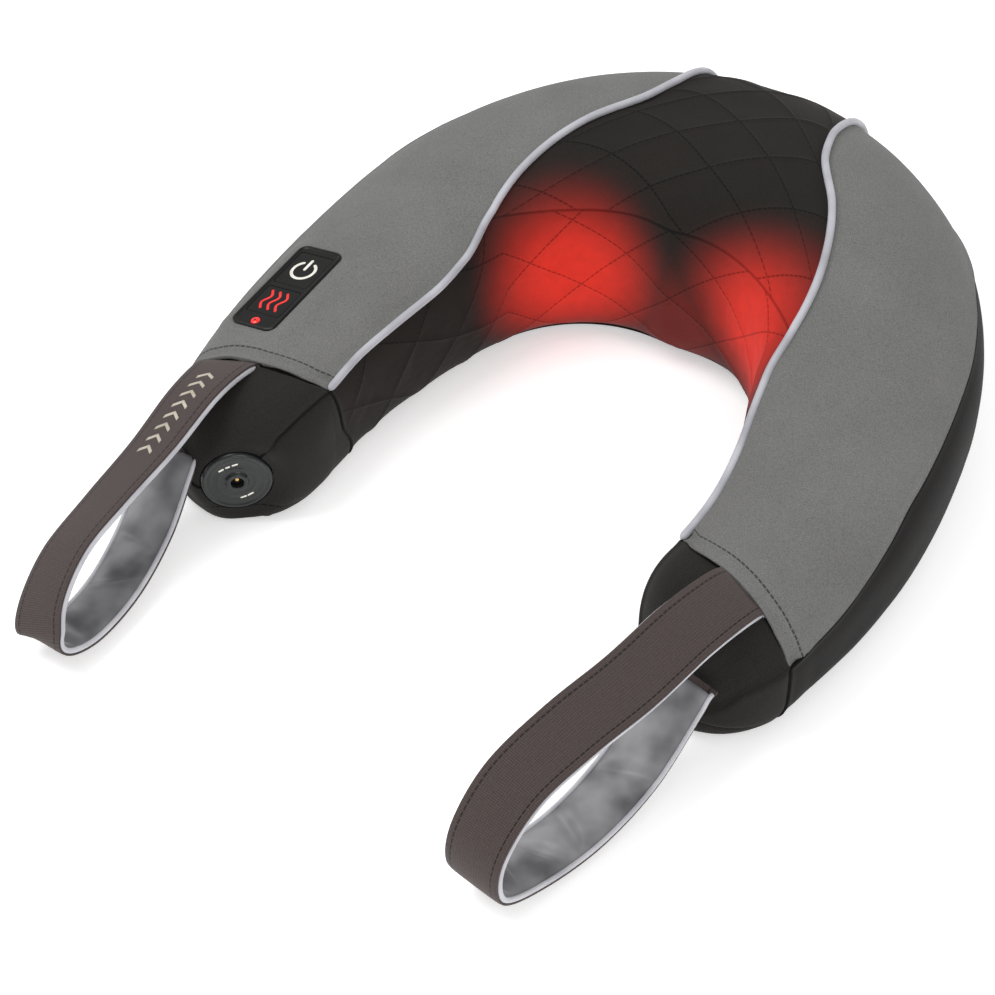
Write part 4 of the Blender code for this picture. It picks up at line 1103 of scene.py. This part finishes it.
def piping(side, sign):
    """Corded piping on the seam of the grey panel, as a smooth round tube."""
    knots = np.concatenate([np.linspace(0.085, 0.125, 60)[:-1], np.linspace(0.125, 1.0, 260)])
    angles = piping_angle(knots)
    line = surface(sign * knots, angles)
    lower, upper = surface(sign * knots, angles - 2), surface(sign * knots, angles + 2)
    ahead = unit(np.gradient(line, axis=0))
    out = unit(np.cross(upper - lower, ahead) * sign)
    for _ in range(3):
        out = np.vstack([out[:1], (out[:-2] + out[1:-1] + out[2:]) / 3, out[-1:]])
    beside = np.cross(ahead, out)
    middle = line + out * PIPING_STAND
    c, s = (way[None, :, None] for way in circle(20))
    radius = np.full(len(knots), PIPING_RADIUS) + 0.05 * MM * lumps(line, 0.01, 3)
    radius[:4] *= PIPING_TIP
    radius[-4:] *= PIPING_TIP[::-1]
    rings = middle[:, None] + radius[:, None, None] * (c * out[:, None] + s * beside[:, None])
    cord = swept(side + "_piping_cord", rings, PIPE)
    ride(cord, "cushion", (side + "_piping",))


# ---- control panel
def flat_shape(name, outline, height, thickness, matrix, material):
    """A thin raised shape on a face, from its outline in that face's frame."""
    rings = [at_level(outline, level, matrix) for level in (height, height + thickness)]
    return swept(name, rings, material)


def stroke(points, width):
    """Outline of a line of one width, with rounded ends."""
    points = np.array(points, float)
    ahead = unit(np.gradient(points, axis=0))
    side = np.column_stack([-ahead[:, 1], ahead[:, 0]]) * width / 2
    caps = []
    for spot, way in ((points[-1], side[-1]), (points[0], -side[0])):
        for turn in np.linspace(0, math.pi, 8)[1:-1]:
            c, s = math.cos(turn), -math.sin(turn)
            caps.append(spot + (way[0] * c - way[1] * s, way[0] * s + way[1] * c))
    half = len(caps) // 2
    return np.vstack([points + side, caps[:half], (points - side)[::-1], caps[half:]])


ICON_LIFT = 0.06 * MM
KEY_TOP = 0.05 * MM
KEY_DEPTH = 3.6 * MM
KEY_EDGE = 0.25 * MM
KEY_CORNER = 1.4 * MM
KEY_GAP = 0.2 * MM


def mark(name, line, width, height, matrix, material, body):
    """A printed line on a face."""
    ride(flat_shape(name, stroke(line, width), height, ICON_LIFT, matrix, material), body)


def controls():
    """Rounded glossy bezel with a raised rim, two keys and their lit icons."""
    rim = (
        (0.0, -PANEL_THICKNESS), (0.0, 0.0), (0.25 * MM, 0.4 * MM), (0.8 * MM, 0.6 * MM),
        (1.4 * MM, 0.5 * MM), (1.9 * MM, 0.1 * MM), (2.1 * MM, 0.0),
    )
    size = (PANEL_WIDTH, PANEL_LENGTH, PANEL_CORNER)
    bezel = slab("control_bezel_shell", *size, rim, PANEL_FRAME, GLOSS)
    through = ((0, -0.02), (0, 0.02))
    cutters = []
    for name, (wide, long, along) in KEYS.items():
        here = PANEL_FRAME @ Matrix.Translation((0, along, 0))
        size = (wide + 2 * KEY_GAP, long + 2 * KEY_GAP, KEY_CORNER + KEY_GAP)
        cutters.append(slab(name + "_hole", *size, through, here, GLOSS))
        edge = ((0, -KEY_DEPTH), (0, KEY_TOP - KEY_EDGE), (KEY_EDGE, KEY_TOP))
        key = slab(name + "_key_cap", wide, long, KEY_CORNER, edge, here, GLOSS)
        ride(key, name + "_key", (name + "_button",))
    lens = PANEL_FRAME @ Matrix.Translation((0, LED_PLACE, 0))
    hole = 2 * (LED_RADIUS + KEY_GAP)
    cutters.append(slab("led_hole", hole, hole, hole / 2 - 1e-5, through, lens, GLOSS))
    cut(bezel, cutters)
    sharpen(bezel, SLAB_CREASE)
    ride(bezel, "cushion", ("control_bezel",))
    power_icon()
    heat_icon()
    outline = 0.55 * MM * np.column_stack(circle(16))
    die = flat_shape("indicator_die", outline, 0.48 * MM, ICON_LIFT, lens, INNER["lead"])
    ride(die, "cushion")
    dome = ((0.02, 0.5), (1.2, 0.45), (2.0, 0.3), (2.35, 0.0), (2.35, -3.0), (0.02, -3.0))
    dome = turned("indicator_lens", dome, lens, INNER["red_lens"], 48)
    ride(dome, "cushion", ("heat_indicator_lens",))


ICON_ANGLE = 34  # half the power ring's opening, in degrees
POWER_WIDTH = 1.6 * MM
HEAT_WIDTH = 1.3 * MM
INLET_MARK_WIDTH = 0.9 * MM


def power_icon():
    """Open ring with a bar in its opening, on the power key."""
    here = PANEL_FRAME @ Matrix.Translation((0, KEYS["power"][2] - 0.2 * MM, 0))
    turns = np.radians(np.linspace(90 + ICON_ANGLE, 90 + 360 - ICON_ANGLE, 60))
    ring = np.column_stack([6.1 * MM * np.cos(turns), 6.1 * MM * np.sin(turns)])
    bar = [(0, 0.9 * MM), (0, 4.2 * MM), (0, 7.6 * MM)]
    for name, line in (("power_icon_ring", ring), ("power_icon_bar", bar)):
        mark(name, line, POWER_WIDTH, KEY_TOP, here, ICON_WHITE, "power_key")


def heat_icon():
    """Three waves side by side on the heat key."""
    here = PANEL_FRAME @ Matrix.Translation((0, KEYS["heat"][2] + 0.3 * MM, 0))
    rise = np.linspace(-1, 1, 26)
    for index, offset in enumerate((-4.6 * MM, 0, 4.6 * MM), 1):
        sway = 1.15 * MM * np.sin(rise * math.pi * 1.25) + offset
        line = np.column_stack([sway, rise * 6.4 * MM])
        mark("heat_icon_wave_%d" % index, line, HEAT_WIDTH, KEY_TOP, here, ICON_RED, "heat_key")


MARK_TURN = 22


def jack():
    """Inlet face: turned rings round the socket, a polished rim and plain printed marks."""
    profile = [
        (3.1, 1.3), (3.4, 1.6), (4.9, 1.6), (5.3, 1.3), (5.7, 0.2), (6.3, 0.0), (8.6, 0.0),
        (8.8, 0.12), (9.2, 0.12), (9.4, 0.0), (12.6, 0.0), (12.9, 0.15), (13.3, 0.15), (13.6, 0.0),
        (14.4, 0.0), (14.9, 0.5), (15.6, 0.7), (16.3, 0.45), (16.9, -0.3), (17.0, -1.0),
        (17.0, -8.0), (15.6, -8.0), (15.6, -2.2), (3.1, -2.2),
    ]
    face = turned("inlet_face", profile, JACK_FRAME, JACK_GLOSS)
    sharpen(face, 55)
    ride(face, "cushion", ("jack_bezel",))
    lie = JACK_FRAME @ Matrix.Rotation(math.radians(MARK_TURN), 4, "Z")
    marks = (
        ("upper_bar", [(-4.6, 9.6), (-2.6, 9.9)]), ("upper_dot", [(-0.9, 10.0), (0.7, 10.0)]),
        ("upper_stem", [(2.4, 9.9), (4.6, 9.6)]), ("lower_bar", [(-2.8, -10.2), (-0.5, -10.4)]),
        ("lower_dash", [(0.8, -10.4), (3.2, -10.1)]),
    )
    # The printed marks take the white icon material's faint glow: painted light.
    for name, line in marks:
        line = np.linspace(*np.array(line) * MM, 4)
        mark("inlet_" + name, line, INLET_MARK_WIDTH, 0.02 * MM, lie, ICON_WHITE, "cushion")


# ---- strap loops
# Root X and Y, yaw inwards in degrees, then points along the outer face: distance forward of
# the root, distance outwards, height, and the outer edge's dip in degrees.
STRAPS = {
    "right": (0.1345, -0.0878, 11.1, (
        (0.006, 0, 0.0634, 14), (0.0369, 0, 0.0660, 21), (0.0750, 0.0010, 0.0646, 20),
        (0.1119, -0.0010, 0.0623, 15), (0.1446, -0.0025, 0.0553, 6), (0.1667, -0.0019, 0.0361, -1),
        (0.1680, 0, 0.0145, 0), (0.1447, 0.0025, 0.0045, 4), (0.1107, 0.0050, 0.0036, 4),
        (0.0759, 0.0042, 0.0112, 0), (0.0455, 0.0010, 0.0275, -5), (0.0385, 0.0005, 0.0325, -5),
    )),
    "left": (-0.1424, -0.0806, 4.0, (
        (0.006, 0, 0.0622, 14), (0.0313, 0.0006, 0.0640, 19), (0.0640, 0.0025, 0.0565, 23),
        (0.0966, 0.0065, 0.0492, 26), (0.1273, 0.0092, 0.0417, 27), (0.1502, 0.0079, 0.0276, 22),
        (0.1587, 0.0027, 0.0147, 8), (0.1416, -0.0022, 0.0060, -8), (0.1109, -0.0035, 0.0066, -12),
        (0.0771, 0, 0.0145, -10), (0.0520, 0.0045, 0.0290, -4), (0.0455, 0.0052, 0.0335, -3),
    )),
}
SHIFT_Y = BACK_Y - 0.156  # of the whole object from the frame that the strap points use
TUCK = (0.012, 0.0078)  # how far the upper end runs under the hem, and drops there
ROOT_SINK = 5 * MM  # how far the lower end runs on into the nose
WEBBING_THICK = 1.6 * MM
WEBBING_EDGE = 0.35 * MM
WEBBING_CROWN = 0.25 * MM
LINING_START = 0.017
LINING_EDGE = 1.0 * MM
BINDING_EDGE = 0.5 * MM
BINDING_DEPTH = 1.1 * MM
BINDING_HALF = (0.95 * MM, 1.3 * MM)


def eased(points, steps):
    """A smooth curve through given points."""
    points = np.array(points, float)
    ends = np.vstack([points[:1], points, points[-1:]])
    fine = []
    for a, b, c, d in zip(ends, ends[1:], ends[2:], ends[3:]):
        fine += [hermite(t, b, (c - a) / 2, c, (d - b) / 2) for t in np.arange(steps) / steps]
    return np.array(fine + [points[-1]])


class Loop:
    """A strap's outer face: spots, width directions and inward normals by distance along it."""

    def __init__(self, side):
        out = 1 if side == "right" else -1
        root_x, root_y, yaw, path = STRAPS[side]
        yaw = math.radians(yaw)
        self.origin = np.array((root_x, root_y + SHIFT_Y, 0))
        self.outward = out * np.array((math.cos(yaw), -out * math.sin(yaw), 0))
        self.forward = np.array((-out * math.sin(yaw), -math.cos(yaw), 0))
        tucked = np.array(path[0]) - (TUCK[0], 0, TUCK[1], 0)
        rooted = np.array(path[-1]) + (-ROOT_SINK, 0, ROOT_SINK / 4, 0)
        self.path = np.vstack([tucked, path, rooted])
        fine = eased(self.path, 14)
        spots = self.origin + fine[:, :1] * self.forward + fine[:, 1:2] * self.outward
        spots[:, 2] = fine[:, 2]
        ahead = unit(np.gradient(spots, axis=0))
        level = unit(self.outward - ahead * (ahead @ self.outward)[:, None])
        inward = np.cross(level, ahead) * out
        dip = np.radians(fine[:, 3:4])
        self.spots = spots
        self.across = level * np.cos(dip) + inward * np.sin(dip)
        self.inward = inward * np.cos(dip) - level * np.sin(dip)
        self.run = run_length(spots[:, None], 0)[:, 0]
        self.side = side

    def at(self, run, across, depth):
        """Points at distances along, across and into the loop."""
        run, across, depth = np.broadcast_arrays(run, across, depth)
        spot, side, inward = (
            np.stack([np.interp(run, self.run, values[:, k]) for k in range(3)], -1)
            for values in (self.spots, self.across, self.inward)
        )
        return spot + side * across[..., None] + inward * depth[..., None]

    def wear(self, piece, slot=None, node=None):
        """Bakes the piece's placement into its mesh, and hides the CAD node it stands for when one
        is named.
        """
        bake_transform(piece)
        if node:
            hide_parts(self.side + node)


def strap_profile():
    """Outline of the webbing: flat faces, a faint crown and rounded edges."""
    columns = np.linspace(-1, 1, 21)
    half = STRAP_WIDTH / 2
    edge = WEBBING_EDGE * np.abs(columns) ** 12
    outer = np.stack([columns * half, edge - WEBBING_CROWN * (1 - columns**2)], -1)
    inner = np.stack([columns[::-1] * half, WEBBING_THICK - edge], -1)
    return np.concatenate([outer, inner])


CREASES = {
    "right": (0.188, 0.203, 0.215, 0.229, 0.246, 0.262, 0.300),
    "left": (0.178, 0.190, 0.205, 0.240, 0.262),
}
CREASE_SLANT = 0.005
CREASE_BOW = 0.002
CREASE_WIDTH = 0.003
CREASE_DEPTH = 2.3 * MM
SWELL_PLACE = 0.007  # past its crease
SWELL_WIDTH = 0.006
SWELL_RISE = 0.7 * MM
LINING_GAP = 0.1 * MM


def lining_depth(side, run, v):
    """Depth of the lining's soft face: a low crown with creases across it."""
    crown = 1.0 * MM + 1.5 * MM * (1 - v**4)
    fold = sum(
        valley(run - place - CREASE_SLANT * v * (-1) ** i + CREASE_BOW * v**2, CREASE_WIDTH)
        for i, place in enumerate(CREASES[side])
    )
    swell = sum(valley(run - place - SWELL_PLACE, SWELL_WIDTH) for place in CREASES[side])
    soft = (1 - v**2) * (-CREASE_DEPTH * fold + SWELL_RISE * swell)
    spots = np.stack(np.broadcast_arrays(run, 0.02 * v, 0.0), -1)
    uneven = 0.25 * MM * lumps(spots, 0.012, 4)
    return WEBBING_THICK + LINING_GAP + crown + soft + uneven * (1 - v**2)


def strap(side):
    loop = Loop(side)
    runs = np.linspace(0, loop.run[-1], 260)
    outline = strap_profile()
    rings = loop.at(runs[:, None], outline[None, :, 0], outline[None, :, 1])
    uv = np.stack(np.broadcast_arrays(runs[:, None], outline[:, 0]), -1)
    tape = swept(side + "_webbing_tape", rings, WEBBING, uv)
    sharpen(tape, 60)
    loop.wear(tape, "webbing", "_strap_webbing")
    lined = np.linspace(LINING_START + TUCK[0], loop.run[-1] - 0.004, 240)[:, None]
    columns = np.linspace(-1, 1, 25)[None, :]
    half = STRAP_WIDTH / 2 - LINING_EDGE
    back = np.full(columns.shape, WEBBING_THICK + LINING_GAP) + 0 * lined
    front = lining_depth(side, lined, columns[:, ::-1])
    rings = np.concatenate([
        loop.at(lined, columns * half, back), loop.at(lined, columns[:, ::-1] * half, front)
    ], axis=1)
    soft = swept(side + "_lining_pad", rings, LINING)
    loop.wear(soft, "satin", "_strap_lining")
    bound = np.linspace(0.004, loop.run[-1] - 0.003, 260)[:, None]
    c, s = circle(12)
    for name, way in (("outer", 1), ("inner", -1)):
        across = way * (STRAP_WIDTH / 2 - BINDING_EDGE) + BINDING_HALF[0] * c
        depth = WEBBING_THICK + BINDING_DEPTH + BINDING_HALF[1] * s
        rings = loop.at(bound, across[None, :], depth[None, :])
        loop.wear(swept(side + "_" + name + "_binding", rings, BINDING), "satin")
    if side == "left":
        woven_marks(loop)


MARK_START = 0.025
MARK_STEP = 0.0070
MARKS = 8
MARK_RISE = 3.2 * MM
MARK_REACH = 4.6 * MM


def woven_marks(loop):
    """A row of plain cream chevrons woven along the left loop."""
    points, faces = [], []
    corners = np.array(((0, -0.45), (0, 0.1), (1.9, 0.1), (1.9, -0.45))) * MM
    t = np.linspace(0, 1, 5)[:, None]
    bar = grid_faces(5, 4, wrap=True).tolist() + [[0, 3, 2, 1], [16, 17, 18, 19]]
    for tip in MARK_START + np.arange(MARKS) * MARK_STEP:
        for way in (1, -1):
            faces += (np.array(bar) + len(points)).tolist()
            run = tip + MARK_RISE * t + corners[:, 0]
            points += loop.at(run, way * MARK_REACH * t, corners[:, 1]).reshape(-1, 3).tolist()
    loop.wear(mesh_object("left_woven_marks", points, faces, THREAD, closed=True))


# ---- foam cores
FOAM_VOXEL = 3.0 * MM
FOAM_ROUGH = 0.25 * MM
FOAM_LUMP = 0.009
FOAM_INSET = 0.3 * MM


def foam_core(name, seed):
    """Open-cell foam in its CAD core's shape, with softened edges and an uneven cut face."""
    piece = new_object(name + "_cut", frame["nodes"][name].data.copy())
    remesh(piece, FOAM_VOXEL)
    piece.modifiers.new("soften", "SMOOTH").iterations = 4
    apply_modifiers(piece)
    made = piece.data
    points, normals = np.zeros((2, len(made.vertices) * 3))
    made.vertices.foreach_get("co", points)
    made.vertices.foreach_get("normal", normals)
    points, normals = points.reshape(-1, 3), normals.reshape(-1, 3)
    points += normals * (FOAM_ROUGH * lumps(points, FOAM_LUMP, seed) - FOAM_INSET)[:, None]
    made.vertices.foreach_set("co", points.ravel())
    made.materials.clear()
    made.materials.append(FOAM)
    made.shade_smooth()
    ride(piece, "cushion", (name,))


FULLNESS = simulate_fullness()
paint_frame()
for side_name, side_sign in (("left", -1), ("right", 1)):
    grey_panel(side_name, side_sign)
    nose(side_name, side_sign)
    piping(side_name, side_sign)
    strap(side_name)
top_panel()
inner_wall()
outer_wall()
base()
controls()
jack()
for index, core in enumerate(("neck_foam_core", "left_arm_foam_core", "right_arm_foam_core")):
    foam_core(core, index)


# ---- stage
FLOOR_HALF = 4.0
FLOOR_GAP = 0.3 * MM
FLOOR_GLOW = 0.42
WORLD_LIGHT = 0.56
LAMPS = (  # name, place, diameter and power; each points at the origin
    ("key", (-0.7, -0.3, 1.3), 1.0, 11), ("fill", (0.9, -0.9, 0.9), 0.9, 5.2),
    ("rim", (0.3, 1.2, 0.8), 0.8, 3.0),
)


def area_light(name, place, size, power):
    data = bpy.data.lights.new(name, "AREA")
    data.shape = "DISK"
    data.size = size
    data.energy = power
    lamp = new_object(name, data)
    lamp.location = place
    lamp.rotation_euler = (-Vector(place)).to_track_quat("-Z", "Y").to_euler()


def stage():
    n = Nodes("pale_floor")
    soft = n.noise(n.coordinates(), 3, 2.0)
    n.set(colour=n.ramp(soft, [(0.3, (0.95,) * 3), (0.7, (0.97,) * 3)]))
    n.set(roughness=0.9, specular=0.1, emission=(1.0, 1.0, 1.0), emit=FLOOR_GLOW)
    corners = [(x * FLOOR_HALF, y * FLOOR_HALF, 0) for x, y in ((-1, -1), (1, -1), (1, 1), (-1, 1))]
    floor = mesh_object("floor", corners, [(0, 1, 2, 3)], n.material)
    floor.location.z = -FLOOR_GAP
    world = bpy.data.worlds.new("studio")
    bpy.context.scene.world = world
    world.use_nodes = True
    backdrop = world.node_tree.nodes["Background"]
    backdrop.inputs[0].default_value = (1, 1, 1, 1)
    backdrop.inputs[1].default_value = WORLD_LIGHT
    for lamp in LAMPS:
        area_light(*lamp)


CAMERA_AZIMUTH = math.radians(31.776)
CAMERA_ELEVATION = math.radians(43.5125)
CAMERA_DISTANCE = 1.182
CAMERA_TARGET = (-0.0023, -0.0546, 0.0299)
CAMERA_LENS = 92.74


def camera():
    data = bpy.data.cameras.new("camera")
    data.lens = CAMERA_LENS
    data.sensor_width = 36
    data.clip_end = 20
    eye = new_object("camera", data)
    a, e = CAMERA_AZIMUTH, CAMERA_ELEVATION
    out = Vector((math.sin(a) * math.cos(e), -math.cos(a) * math.cos(e), math.sin(e)))
    eye.location = Vector(CAMERA_TARGET) + out * CAMERA_DISTANCE
    eye.rotation_euler = out.to_track_quat("Z", "Y").to_euler()
    bpy.context.scene.camera = eye


stage()
camera()
bpy.context.scene.view_settings.view_transform = "Standard"
